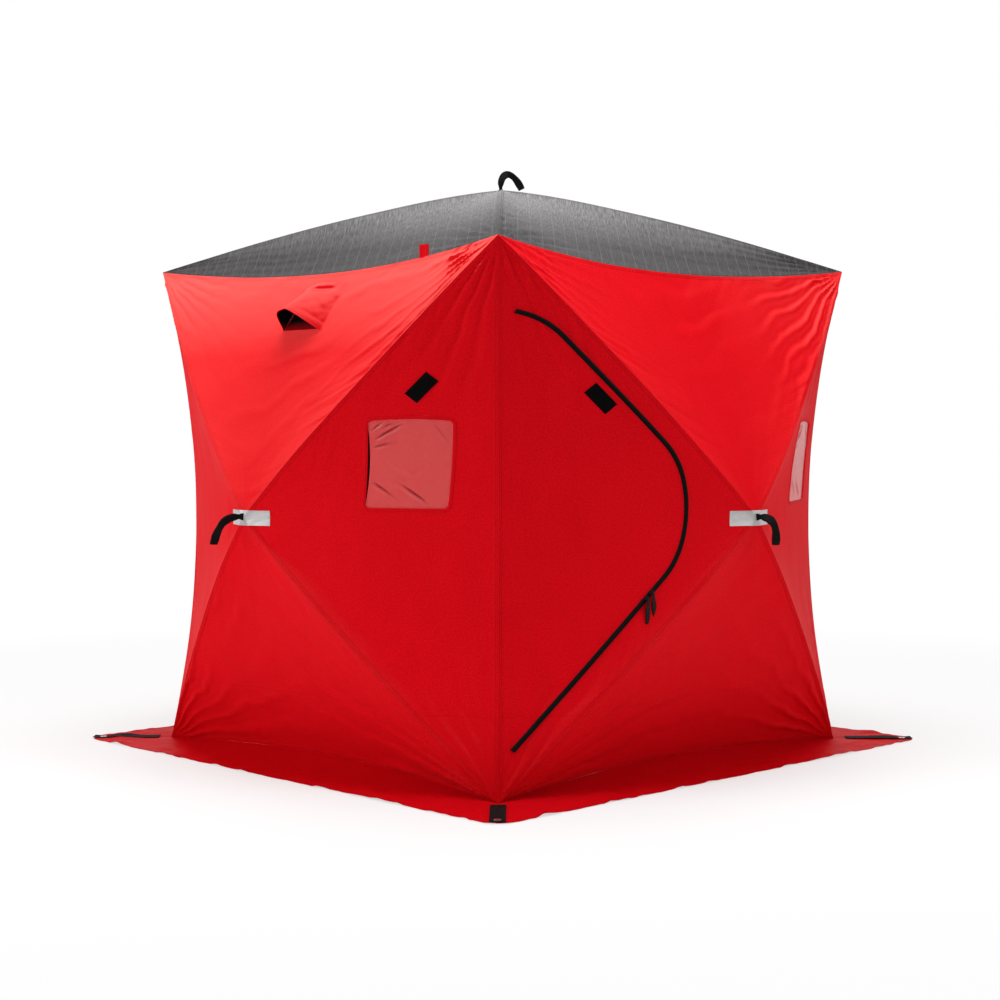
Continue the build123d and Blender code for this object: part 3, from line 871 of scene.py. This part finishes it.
def carved(name, source, tool, operation):
    # a copy of the cloth cut by the prism, with its seam distances worked out again
    piece = bpy.data.objects.new(name, source.data.copy())
    bpy.context.scene.collection.objects.link(piece)
    cut = piece.modifiers.new("cut", "BOOLEAN")
    cut.object = tool
    cut.operation = operation
    cut.solver = "EXACT"
    view = bpy.context.evaluated_depsgraph_get()
    mesh = bpy.data.meshes.new_from_object(piece.evaluated_get(view))
    bpy.data.objects.remove(piece)
    bm = bmesh.new()
    bm.from_mesh(mesh)
    seams, grain = (bm.verts.layers.float_vector[name] for name in ("seams", "grain"))
    net = nets["left"]
    for vert in bm.verts:
        u, v = placeOn(net, vert.co.x, vert.co.z)
        vert[seams] = seamGaps(net, u, v, onNet(net, u, v))
        vert[grain] = (vert.co.x, vert.co.z, 0)
    return finishPiece(name, bm, [wallRed, lining])


whole = panelMesh("left", panels["fineCells"], seedOf("front", "left"))
thicken(whole, panels["thickness"], lined=True)
wholePiece = finishPiece("front_left_whole", whole, [wallRed, lining])
knife = cutter()
doorCloth = carved("door_cloth", wholePiece, knife, "INTERSECT")
surround = carved("front_left_cloth", wholePiece, knife, "DIFFERENCE")
bpy.data.objects.remove(wholePiece)
bpy.data.objects.remove(knife)
declare(surround, (2.30, 0.30), "wall_cloth", "shelter",  # a curved band round the doorway
        "front_panel_over_door", "front_panel_under_door")
declare(doorCloth, (1.32, 0.66), "wall_cloth", None, "door_flap", "front_hinge_strip")
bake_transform(doorCloth)
print("door cut")


def onDoorPanel(x, z, lift):
    return onWall(x, z, lift, "left", seedOf("front", "left"))


def ribbon(bm, spine, profile):
    # a closed profile of (sideways, lift) carried along points (X, Z) of the door's panel
    runs = [0.0]
    for before, after in zip(spine, spine[1:]):
        runs.append(runs[-1] + (after - before).length)

    def ribbonPoint(i, j):
        before, after = spine[max(0, i - 1)], spine[min(len(spine) - 1, i + 1)]
        shift, lift = profile[j]
        spot = spine[i] + leftOf((after - before).normalized()) * shift
        return onDoorPanel(spot.x, spot.y, lift), (runs[i], shift, 0), (1, 1, 1)

    sweep(bm, len(spine) - 1, len(profile), ribbonPoint)


zipper = {
    "reach": 0.0070,  # from the middle to the edge of each half's tape
    "tapeHeight": 0.0022,
    "crown": 0.0056,
    "coil": (0.0026, 0.0046),  # where its top begins and ends
    "inner": {1: -0.0008, -1: -0.0006},  # where the wall's half and the door's half start
    "toothPitch": 0.0046,
    "toothSide": 0.0008,
    "tooth": (0.0024, 0.0054, 0.0024),
}


def zipRow(bm, spine, sign):
    # one half's tape, coil and teeth; sign 1 is the wall's half, -1 the door's
    reach, tape, crown = zipper["reach"], zipper["tapeHeight"], zipper["crown"]
    inner = zipper["inner"][sign]
    coilTop, coilFoot = zipper["coil"]
    ribbon(bm, spine, [(inner, 0.0), (inner, crown - 0.0006), (sign * coilTop, crown),
                       (sign * coilFoot, tape + 0.0010), (sign * (reach - 0.0012), tape),
                       (sign * reach, 0.0010), (sign * reach, 0.0)])
    teeth = evenly(spine, zipper["toothPitch"])
    for before, place, after in zip(teeth, teeth[1:], teeth[2:]):
        way = (after - before).normalized()
        stagger = zipper["toothPitch"] / 2 * (sign > 0)
        centre = place + way * stagger + leftOf(way) * (sign * zipper["toothSide"])
        step = 0.01
        ahead = centre + way * step
        base = onDoorPanel(centre.x, centre.y, crown)
        along = (onDoorPanel(ahead.x, ahead.y, crown) - base).normalized()
        rise = (onDoorPanel(centre.x, centre.y, crown + step) - base).normalized()
        seat = Matrix((along, rise.cross(along), rise)).transposed().to_4x4()
        seat.translation = base
        box(bm, seat, zipper["tooth"])


fullPath = evenly(doorPath, 0.010)
doorRun = [place for place in fullPath if door["low"] < place.y < door["high"]]
firstCut, lastCut = fullPath.index(doorRun[0]), fullPath.index(doorRun[-1])
wallZip = blankMesh()[0]
zipRow(wallZip, fullPath, 1)
for stub in (fullPath[:firstCut + 1], fullPath[lastCut:]):  # past the flap both halves are on the wall
    zipRow(wallZip, stub, -1)
assign(finishSolid("doorway_zip", wallZip, zipTeeth), "zipper_tape", "shelter", "doorway_zipper")
doorZip = blankMesh()[0]
zipRow(doorZip, doorRun, -1)
assign(finishSolid("door_zip", doorZip, zipTeeth), "zipper_tape", "door", "door_zipper")

pulls = {
    "places": ((-0.392, 0.622), (-0.375, 0.640)),
    "swing": (0.05, -0.10),
    "lift": 0.007,
    "slope": -0.8,  # turn of the sliders, which lie along the zipper
    "slider": (0.018, 0.008, 0.011),
    "sliderEdge": 0.0022,
    "bridge": (0.0022, 0.014, 0.006),  # radius, length and distance in front of the slider
    "link": (0.0102, 0.0030, 0.029),
    "grip": (0.0170, 0.0050, 0.056),
    "gripEdge": 0.0016,
    "ribs": (5, 0.006, 0.007),  # count, first place and pitch
    "rib": (0.0178, 0.0060, 0.0016),
}


def lowered(amount):
    return Matrix.Translation((0, 0, -amount))


def makePulls():
    # two sliders, each with a short link and a moulded grip
    bm = blankMesh()[0]
    tilt = Matrix.Rotation(pulls["slope"], 4, "Y")
    radius, length, forward = pulls["bridge"]
    linkLong, gripLong = pulls["link"][2], pulls["grip"][2]
    count, firstRib, pitch = pulls["ribs"]
    for (x, z), swing in zip(pulls["places"], pulls["swing"]):
        spot = onDoorPanel(x, z, pulls["lift"])
        rounded(bm, box(bm, Matrix.Translation(spot) @ tilt, pulls["slider"]), pulls["sliderEdge"])
        bridge = Matrix.Translation(spot + out * forward)
        bmesh.ops.create_cone(bm, cap_ends=True, segments=12, radius1=radius, radius2=radius,
                              depth=length, matrix=bridge @ tilt @ Matrix.Rotation(1.571, 4, "Y"))
        hang = bridge @ Matrix.Translation(out * 0.0015) @ Matrix.Rotation(swing, 4, "Y")
        box(bm, hang @ lowered(linkLong / 2), pulls["link"])
        rounded(bm, box(bm, hang @ lowered(linkLong + 0.45 * gripLong), pulls["grip"]),
                pulls["gripEdge"])
        for step in range(count):
            box(bm, hang @ lowered(linkLong + firstRib + pitch * step), pulls["rib"])
    assign(finishSolid("zip_pulls", bm, pullRubber), "zipper_tape", "door", "zipper_pulls")


makePulls()
print("zipper made")


# small flat pieces on the cloth
def wallSheet(name, side, cells, place, thickness, lift, material, wall):
    # place(s, t) gives X and Z for s and t from 0 to 1, and an extra lift
    seed = seedOf(wall, side) if side else None

    def sheetPoint(s, t):
        x, z, extra = place(s, t)
        return onWall(x, z, lift + extra, side, seed), (x, z, extra), (1, 1, 1)

    bm = gridMesh(cells, sheetPoint)
    thicken(bm, thickness)
    return finishPiece(name, bm, [material], walls[wall])


patch = {"size": (0.098, 0.043), "thickness": 0.002, "sunk": 0.0008, "cells": (20, 10),
         "waves": (0.0004, 3, 2)}
patchPlaces = {"door_patch": ("left", (-0.549, 1.265), -44, "front", "door", "door_hook_patch"),
               "wall_patch": ("right", (0.623, 1.300), 44, "left", "shelter", "wall_hook_patch")}
for name, (side, middle, slope, wall, body, node) in patchPlaces.items():
    lean = math.radians(slope)

    def patchPlace(s, t):
        a, b = (s - 0.5) * patch["size"][0], (t - 0.5) * patch["size"][1]
        height, alongPace, acrossPace = patch["waves"]
        lift = height * noise.noise(Vector((s * alongPace, t * acrossPace, slope)))
        return (middle[0] + a * math.cos(lean) - b * math.sin(lean),
                middle[1] + a * math.sin(lean) + b * math.cos(lean), lift)

    piece = wallSheet(name, side, patch["cells"], patchPlace, patch["thickness"] + patch["sunk"],
                      patch["thickness"], hookTape, wall)
    assign(piece, "hook_and_loop", body, node)

strip = {"size": (0.200, 0.050), "lift": 0.0014, "cells": (64, 20), "waves": (0.0006, 9, 3)}


def stripPlace(s, t):
    x, z = (s - 0.5) * strip["size"][0], hut["hubHeight"] + (t - 0.5) * strip["size"][1]
    height, alongPace, acrossPace = strip["waves"]
    return x, z, height * noise.noise(Vector((s * alongPace, t * acrossPace, 1.0)))


for wall in walls:
    piece = wallSheet(f"{wall}_reflective_strip", None, strip["cells"], stripPlace, strip["lift"],
                      strip["lift"], reflective, wall)
    assign(piece, "reflective_tape", "shelter", *firstOnly(wall, "reflective_strips"))

lowX, lowZ = window["low"]
highX, highZ = window["high"]
film = {
    "cells": (84, 92),
    "tuck": 0.004,  # how far it reaches under the hem
    "edge": 9,  # the creases fade out in this part of its width and height, a ninth
    "waves": (0.0008, 14, 6),
    "creaseLength": 0.18,
    "creaseWidth": 0.014,
    "furrow": (0.6, 0.030, 0.020),  # beside a crease: share of its height, distance and width
}


def leaned(x, z):
    return x + window["lean"] * (z - (lowZ + highZ) / 2)


def arched(x, z):
    # the ring's top edge is bowed, with its corners a little low
    across, rise = (2 * x - lowX - highX) / (highX - lowX), max(0, z - lowZ) / (highZ - lowZ)
    drop, inward = window["arch"]
    return Vector((leaned(x, z) - inward * max(0, across) * rise ** 3,
                   z - drop * across * across * rise ** 4))


def filmSpot(s, t, reach):
    # a point of the film or its cover, which reach under the hem but for a slit on one side
    slit = (window["slit"] + reach) * math.sin(math.pi * t) ** 0.5 * (1 - s)
    z = lowZ - reach + t * (highZ - lowZ + 2 * reach)
    return leaned(lowX - reach + slit + s * (highX - lowX + 2 * reach), z), z


def bell(offset, width):
    return math.exp(-(offset / width) ** 2)


def filmPlace(s, t):
    x, z = filmSpot(s, t, film["tuck"])
    inside = smooth(min(s, 1 - s) * film["edge"]) * smooth(min(t, 1 - t) * film["edge"])
    height, along, across = film["waves"]
    lift = height * noise.noise(Vector(((x + z) * along, (x - z) * across, 2.0)))
    share, beside, width = film["furrow"]
    for startS, startT, slope, height in window["creases"]:
        run, off = s - startS, t - startT - slope * (s - startS)
        ridge = bell(off, film["creaseWidth"]) - share * bell(off - beside, width)
        lift += height * bell(run, film["creaseLength"]) * ridge
    return x, z, inside * lift


def coverPlace(s, t):
    return *filmSpot(s, t, window["border"]), 0.0


windowParts = {  # cells, place, thickness, lift, material, slot, flat size and node
    "film": (film["cells"], filmPlace, 0.0006, -0.0014, vinyl, "clear_vinyl", (0.29, 0.31),
             "window_panes"),
    "cover": ((24, 26), coverPlace, 0.0018, -0.0042, wallRed, "wall_cloth", (0.30, 0.32),
              "window_covers"),
}
for wall in walls:
    for name, (*look, slotName, flat, node) in windowParts.items():
        piece = wallSheet(f"{wall}_window_{name}", "right", *look, wall)
        assign(piece, slotName, "shelter", *firstOnly(wall, node))

hem = {
    "corner": 0.012,
    "step": 0.005,
    "section": ((0.0, -0.0016), (0.0, 0.0007), (0.0025, 0.0021), (0.0085, 0.0021), (0.013, 0.0003),
                (0.013, -0.001)),  # sideways and lift
    "ripples": ((0.0014, 70, 4.0), (0.0010, 26, 9.0)),  # height, pace and place in the noise
    "topGather": (0.45, 0.9, 0.03),
}


def windowRing():
    # the window's outline with its corners rounded, as a closed run of points
    middle = ((lowX + highX) / 2, highZ)
    loop = [middle, (highX, highZ), (highX, lowZ), (lowX, lowZ), (lowX, highZ), middle]
    path = evenly(roundedPath(loop, [hem["corner"]] * 4, 0.3), 0.01)
    return evenly([arched(*place) for place in path], hem["step"])[:-1]


def hemRipple(spot, turn):
    # the hem is gathered most along its top
    least, more, depth = hem["topGather"]
    gather = least + more * smooth((spot.y - highZ + depth) / depth)
    along = spot.x + 0.8 * spot.y
    return gather * sum(height * noise.noise(Vector((along * pace, place, turn)))
                        for height, pace, place in hem["ripples"])


spine = windowRing()
for wall, turn in walls.items():
    def hemPoint(i, j):
        i %= len(spine)
        sideways = leftOf((spine[(i + 1) % len(spine)] - spine[i - 1]).normalized())
        shift, lift = hem["section"][j]
        spot = spine[i] + sideways * shift
        if 0 < j < 4:
            lift += hemRipple(spot, turn)
        return (onWall(spot.x, spot.y, lift, "right", seedOf(wall, "right")), (spot.x, spot.y, 0),
                (shift, 1, 1))

    bm = blankMesh()[0]
    sweep(bm, len(spine), len(hem["section"]), hemPoint)
    assign(finishSolid(f"{wall}_window_hem", bm, wallRed, turn), "wall_cloth", "shelter")
print("windows made")

# vent hoods over the holes in two top panels
hood = {
    "mouth": (Vector((-0.120, -0.940, 1.504)), Vector((-0.034, -1.002, 1.580)),
              Vector((0.091, -0.942, 1.499))),
    "top": (Vector((-0.098, -0.866, 1.656)), Vector((0.016, -0.884, 1.672)),
            Vector((0.160, -0.866, 1.664))),
    "cells": (56, 44),
    "thickness": 0.0028,
    "roundness": (0.03, 0.01),  # of the peak, at the mouth and at the top
    "bulge": Vector((-0.019, -0.012, 0.016)),  # of the flank by the mouth
    "wrinkle": 0.0017,
    "dent": (0.010, 0.80, 0.09, 0.60, 0.16),  # depth, then place and width along t and s
    "hem": (0.0016, 0.13, 0.02),  # height, width and edge, as shares of the hood's length
    "lift": Vector((0, -1, 0.4)),
    "length": 0.17,
    "gap": 0.0006,
}
screen = {"cells": (24, 14), "left": -0.014, "wide": 0.186, "narrowing": 0.4, "low": 1.509,
          "tall": 0.100}


def ridged(points, s, roundness):
    # along an upside-down V with a softened top
    left, peak, right = points
    base = left.lerp(right, s)
    bend = 1 - math.sqrt((2 * s - 1) ** 2 + roundness)
    bend = max(0.0, bend) / (1 - math.sqrt(roundness))
    return base + (peak - left.lerp(right, 0.5)) * bend


def hoodPoint(s, t, wall):
    place = ridged(hood["mouth"], s, hood["roundness"][0])
    place = place.lerp(ridged(hood["top"], s, hood["roundness"][1]), t)
    place += hood["bulge"] * (math.sin(math.pi * min(1, s / 0.5)) ** 2 * (s < 0.5) * (1 - t))
    wrinkle = hood["wrinkle"] * noise.noise(Vector((s * 6, t * 5, 2.0)) * 1.7) * smooth(t * 4)
    depth, dentT, wideT, dentS, wideS = hood["dent"]
    dent = depth * bell(t - dentT, wideT) * bell(s - dentS - (t - dentT), wideS)
    height, width, edge = hood["hem"]
    place += hood["lift"] * (wrinkle - dent + height * smooth((width - t) / edge))
    place.y = min(place.y, onWall(place.x, place.z, hood["gap"], "top", seedOf(wall, "top")).y)
    return place, (place.x, place.z, 0), (t * hood["length"] + 0.002, 1, 1)


def screenPlace(s, t):
    wide = screen["wide"] * (1 - screen["narrowing"] * t)
    return screen["left"] + (s - 0.5) * wide, screen["low"] + screen["tall"] * t, 0.0


for wall in ("left", "right"):
    bm = gridMesh(hood["cells"], lambda s, t: hoodPoint(s, t, wall))
    thicken(bm, hood["thickness"], lined=True)
    piece = finishPiece(f"{wall}_vent_hood", bm, [wallRed, ventMesh], walls[wall])
    assign(piece, "wall_cloth", "shelter", *firstOnly(wall, "vent_hoods", "left"))
    piece = wallSheet(f"{wall}_vent_screen", "top", screen["cells"], screenPlace, 0.0008, 0.0016,
                      ventMesh, wall)
    assign(piece, "wall_cloth", "shelter")
print("vents made")

# skirts that lie on the ice
skirt = {
    "half": 1.120,
    "band": 1.050,
    "fold": 0.985,
    "thickness": 0.0022,
    "ripple": 0.010,
    "ragged": 0.009,
    "cells": (150, 30),
    "anchor": 1.072,
    "snip": 0.050,  # taken off each corner along both edges
    "fall": 0.6,  # share of its width that comes down from the wall
    "foldIn": 0.065,  # the foot of that fall lies further in at mid-wall
    "start": (0.93, 0.12),  # distance from the middle where ripples begin, and their fade
    "waves": ((0.7, 9, 1.5), (0.35, 24, 6.5)),  # share, pace and place in the noise
    "held": (0.022, 0.05),  # flat around each anchor, and its fade
    "frayPace": 14,
    "curl": (0.004, 20),
    "edge": (0.9, 0.1),
}
footEdge = toward((footLeft + footRight) / 2, heart, 2 * hut["footPull"])
skirtNet = [[footLeft, footEdge, footRight]]
for half, middle in ((skirt["fold"], skirt["fold"] - skirt["foldIn"]), (skirt["band"], skirt["band"])):
    skirtNet.append([cornerAt(-1, half, hut["foot"]), Vector((0, -middle, hut["foot"])),
                     cornerAt(1, half, hut["foot"])])


def skirtRipple(place):
    # lift of the skirt off the ice, with none near the anchors
    start, fade = skirt["start"]
    outer = smooth((max(abs(place.x), abs(place.y)) - start) / fade)
    wave = 0.15
    for share, pace, spot in skirt["waves"]:
        wave += share * noise.noise(Vector((place.x * pace, place.y * pace, spot)))
    away = max(abs(abs(place.x) - skirt["anchor"]), abs(abs(place.y) - skirt["anchor"]))
    flat, fade = skirt["held"]
    return skirt["ripple"] * max(0.0, wave) * outer * smooth((away - flat) / fade)


def skirtPlace(s, t):
    # the first part falls to the ground, then the band runs out flat
    if t < skirt["fall"]:
        place = onNet(skirtNet, t / skirt["fall"], s)
    else:
        share = (t - skirt["fall"]) / (1 - skirt["fall"])
        reach = skirt["band"] + (skirt["half"] - skirt["band"]) * share
        place = Vector(((2 * s - 1) * reach, -reach, hut["foot"]))
        over = skirt["snip"] * share - (reach - abs(place.x))
        if over > 0:
            place += Vector((-math.copysign(over / 2, place.x), over / 2, 0))
    along = place.x
    start, fade = skirt["edge"]
    edge = smooth((t - start) / fade) * smooth((skirt["half"] - abs(along)) / 0.03)
    frayed = skirt["ragged"] * (noise.noise(Vector((along * skirt["frayPace"], place.y, 3.0))) - 0.25)
    place.y += max(0.0, -frayed) * edge
    height, pace = skirt["curl"]
    curl = height * max(0.0, noise.noise(Vector((along * pace, 2.0, 9.0))))
    place.z += skirtRipple(place) + curl * edge
    return place


def skirtPoint(s, t):
    place = skirtPlace(graded(s, "both"), t)
    mitre = abs(abs(place.x) - abs(place.y)) * 0.7
    return place, (place.x, place.y, 0), (mitre + 0.001, (1 - t) * 0.17 + 0.001, t * 0.1 + 0.02)


for wall, turn in walls.items():
    bm = gridMesh(skirt["cells"], skirtPoint)
    thicken(bm, skirt["thickness"], flat=True)
    for vert in bm.verts:
        vert.co.z = max(vert.co.z, 0.0)
    piece = finishPiece(f"{wall}_skirt_cloth", bm, [skirtRed], turn)
    declare(piece, (2.24, 0.26), "skirt_cloth", "shelter", f"{wall}_skirt", held="laid",
            restsOn=["floor"])
print("skirts made")

# webbing: anchor straps, pull loops, roof tabs
anchor = {"width": 0.050, "start": 0.045, "end": 0.036, "lift": 0.0022, "cells": (48, 12),
          "clear": (0.0030, 0.016, 0.03)}  # above the skirt, but for a flat and a fade by the hole


def anchorPoint(s, t, sx, sy):
    inner = hut["baseHalf"] * root2 + anchor["start"]
    outer = skirt["anchor"] * root2 + anchor["end"]
    reach, wide = inner + (outer - inner) * s, (2 * t - 1) * anchor["width"] / 2
    spot = Vector((sx * reach - sy * wide, sy * reach + sx * wide, 0)) / root2
    away = math.hypot(abs(spot.x) - skirt["anchor"], abs(spot.y) - skirt["anchor"])
    height, flat, fade = anchor["clear"]
    spot.z = hut["foot"] + skirtRipple(spot) + anchor["lift"] + height * smooth((away - flat) / fade)
    return spot, (reach, wide, 0), (1, 1, 1)


for number, (sx, sy) in enumerate(((-1, -1), (1, -1), (1, 1), (-1, 1))):
    bm = gridMesh(anchor["cells"], lambda s, t: anchorPoint(s, t, sx, sy))
    thicken(bm, anchor["lift"], flat=True)
    piece = finishPiece(f"anchor_webbing_{number + 1}", bm, [webbing])
    assign(piece, "webbing", "shelter", *firstOnly(number, "corner_anchor_straps", 0))

pullStrap = {
    "hubDepth": 0.026,
    "rings": 56,
    "waver": (0.38, 11),  # turn to and fro, in radians, and its pace
    "neck": (0.40, 0.16),  # girth where it leaves the hub, and the share over which it grows
    "knot": (0.55, 0.14, 0.05),  # extra thickness, place and width
    "half": (0.0125, 0.0048),  # half width and half thickness of the two layers together
    "wallPath": ((0, 0), (0.066, 0.012), (0.112, 0.002), (0.097, -0.086)),
    "wallWaist": (0.22, 0.30),  # place along the strap and share taken off its girth
    "twist": {"front": (1.3, 0.75), "left": (1.1, 2.3), "back": (1.1, 2.0), "right": (1.2, 0.9)},
    "roofPath": ((0, 0), (-0.020, 0.080), (0.028, 0.124), (0.075, 0.026)),
    "roofWaist": (0.17, 0.50),
    "roofTwist": (1.15, 1.95),
    "sway": {"front": 0.004, "left": -0.064, "back": 0.012, "right": -0.014},
    "roofSway": 0.006,
    "section": ((-0.96, -0.9), (-0.6, -1), (0.6, -1), (0.96, -0.9), (1, -0.45), (0.82, 0), (1, 0.45),
                (0.96, 0.9), (0.6, 1), (-0.6, 1), (-0.96, 0.9), (-1, 0.45), (-0.82, 0), (-1, -0.45)),
}


def cubic(points, t):
    a, b, c, d = (Vector(point) for point in points)
    return (a * (1 - t) ** 3 + b * (3 * t * (1 - t) ** 2) + c * (3 * t * t * (1 - t)) + d * t ** 3)


def strapLoop(name, path, toSpace, aside, sway, twist, waist):
    # a loop of webbing with its two layers together, twisted along its length
    count = pullStrap["rings"]
    places = evenly([cubic(path, i / 40) for i in range(41)], 0.0028)
    places = [places[round(i * (len(places) - 1) / count)] for i in range(count + 1)]
    spots = [toSpace(place) + aside * (sway * (i / count) ** 2) for i, place in enumerate(places)]
    halfWide, halfThick = pullStrap["half"]
    waver, waverPace = pullStrap["waver"]
    neck, neckEnd = pullStrap["neck"]
    extra, knotPlace, knotWidth = pullStrap["knot"]

    def strapPoint(i, j):
        share = i / count
        along = (spots[min(count, i + 1)] - spots[max(0, i - 1)]).normalized()
        normal = along.cross(aside).normalized()
        wide = normal.cross(along).normalized()
        turn = twist[0] + (twist[1] - twist[0]) * smooth(share)
        spin = Matrix.Rotation(turn + waver * math.sin(waverPace * share), 3, along)
        girth = neck + (1 - neck) * smooth(share / neckEnd)
        girth *= (1 + 0.10 * math.sin(15 * share + 1)) * (1 - waist[1] * bell(share - waist[0], 0.06))
        knot = 1 + extra * bell(share - knotPlace, knotWidth)
        a, b = pullStrap["section"][j]
        shift = spin @ (wide * (a * halfWide * girth) + normal * (b * halfThick * girth * knot))
        return spots[i] + shift, (share * 0.16, a * halfWide, 0), (1, 1, 1)

    bm = blankMesh()[0]
    sweep(bm, count, len(pullStrap["section"]), strapPoint)
    return finishSolid(name, bm, webbing)


for wall, turn in walls.items():
    spin = Matrix.Rotation(math.radians(turn), 3, "Z")

    def wallSpace(place):
        return spin @ Vector((0, -(hut["hubReach"] - pullStrap["hubDepth"]) - place.x,
                              hut["hubHeight"] + place.y))

    piece = strapLoop(f"{wall}_pull_strap", pullStrap["wallPath"], wallSpace, spin @ Vector((1, 0, 0)),
                      pullStrap["sway"][wall], pullStrap["twist"][wall], pullStrap["wallWaist"])
    assign(piece, "webbing", "shelter", *firstOnly(wall, "wall_pull_straps"))


def roofSpace(place):
    lean = Vector((1, -1, 0)).normalized() * place.x
    return Vector((0, 0, hut["roofHeight"] - pullStrap["hubDepth"] + place.y)) + lean


piece = strapLoop("roof_strap", pullStrap["roofPath"], roofSpace, Vector((1, 1, 0)).normalized(),
                  pullStrap["roofSway"], pullStrap["roofTwist"], pullStrap["roofWaist"])
assign(piece, "webbing", "shelter", "roof_pull_strap")

tab = {"middle": Vector((0.520, -0.862, 1.745)), "half": (0.023, 0.021), "thickness": 0.0018,
       "cells": (8, 12), "waist": 0.06, "curl": 0.003, "lean": 0.10, "off": 0.002}


def tabPoint(s, t):
    s, t = 2 * s - 1, 2 * t - 1
    rise = t * tab["half"][1]
    back = tab["off"] + tab["curl"] * (t * 0.5 + 0.5) ** 2 - rise * tab["lean"]
    shift = Vector((s * tab["half"][0] * (1 - tab["waist"] * abs(t)), -back, rise))
    return tab["middle"] + shift, (s * 0.016, rise, 0), (0.003 + (1 - abs(s)) * 0.0165, 1, 1)


for wall in ("left", "right"):
    bm = gridMesh(tab["cells"], tabPoint)
    thicken(bm, tab["thickness"])
    piece = finishPiece(f"{wall}_roof_tab", bm, [wallRed], walls[wall])
    assign(piece, "wall_cloth", "shelter", *firstOnly(wall, "roof_edge_tabs", "left"))
print("webbing made")

# CAD nodes that stay, with their finishes
finishes = {"anchor_grommets": grommetMetal}
finishes.update({f"{place}_poles": poleGlass for place in ("roof", *walls)})
finishes.update({name: hubPlastic for name in ("wall_hubs", "roof_hub", "upper_corner_sockets",
                                               "lower_corner_sockets")})
for name, material in finishes.items():
    mesh = nodes[name].data
    mesh.materials.clear()
    mesh.materials.append(material)

# floor, lights and camera
studio = {
    "world": 0.20,
    "lamps": {  # place, target, size, power
        "overhead": ((-0.3, -0.5, 5.4), (0, 0, 0.9), 3.8, 290),
        "leftSide": ((-5.0, 1.8, 2.4), (0, 0, 1.0), 3.0, 125),
        "rightSide": ((1.2, -5.6, 2.6), (0, 0, 1.0), 3.2, 80),
        "back": ((4.5, 4.5, 2.8), (0, 0, 1.0), 3.0, 80),
    },
    "camera": (-4.8515, -4.9356, 1.1348),
    "yaw": 0.795,
    "pitch": -0.033,
    "lens": 65.9,
    "sensor": 36,
    "floorHalf": 40.0,
    "floorDrop": 0.0006,
    "whitening": (0.12, 0.45),  # of the floor, for each metre from the middle and at the middle
}
scene = bpy.context.scene
scene.view_settings.view_transform = "Standard"


def seenDirectly(wire):
    # 1 for what the camera sees, itself or in a reflection or through glass
    camera, glossy, through = (wire.node("ShaderNodeLightPath", {}, {}, output=name) for name in
                               ("Is Camera Ray", "Is Glossy Ray", "Is Transmission Ray"))
    return camera.math("MAXIMUM", glossy).math("MAXIMUM", through)


floorMaterial, floorWire, floorShader = newMaterial("floor_pale", (0.86, 0.86, 0.86), 0.9)
farOut = objectPlace(floorWire)
farOut = farOut.node("ShaderNodeVectorMath", {"operation": "LENGTH"}, {0: farOut}, output="Value")
whiter = seenDirectly(floorWire) * farOut.slope(*studio["whitening"])  # all white away from the hut
white = floorWire.node("ShaderNodeEmission", {}, {"Color": (1, 1, 1, 1), "Strength": 1.0})
lifted = floorWire.node("ShaderNodeMixShader", {}, {
    0: whiter, 1: Wire(floorWire.tree, floorShader.outputs[0]), 2: white})
floorOut = floorMaterial.node_tree.nodes["Material Output"]
floorWire.tree.links.new(lifted.socket, floorOut.inputs["Surface"])


def floorPoint(s, t):
    half = studio["floorHalf"]
    return ((2 * s - 1) * half, (2 * t - 1) * half, -studio["floorDrop"]), (0, 0, 0), (1, 1, 1)


finishPiece("floor", gridMesh((1, 1), floorPoint), [floorMaterial])

world = bpy.data.worlds.new("studio")
scene.world = world
world.use_nodes = True
worldWire = Wire(world.node_tree)
strength = seenDirectly(worldWire) * (1 - studio["world"]) + studio["world"]
background = world.node_tree.nodes["Background"]
background.inputs["Color"].default_value = (1, 1, 1, 1)
world.node_tree.links.new(strength.socket, background.inputs["Strength"])

for name, (place, target, size, power) in studio["lamps"].items():
    lamp = bpy.data.lights.new(name, "AREA")
    lamp.size = size
    lamp.energy = power
    holder = bpy.data.objects.new(name, lamp)
    holder.location = place
    holder.rotation_euler = (Vector(target) - Vector(place)).to_track_quat("-Z", "Y").to_euler()
    scene.collection.objects.link(holder)

lens = bpy.data.cameras.new("camera")
lens.lens = studio["lens"]
lens.sensor_width = studio["sensor"]
eye = bpy.data.objects.new("camera", lens)
eye.location = studio["camera"]
look = Vector((math.cos(studio["yaw"]) * math.cos(studio["pitch"]),
               math.sin(studio["yaw"]) * math.cos(studio["pitch"]), math.sin(studio["pitch"])))
eye.rotation_euler = look.to_track_quat("-Z", "Y").to_euler()
scene.collection.objects.link(eye)
scene.camera = eye
print("studio ready")
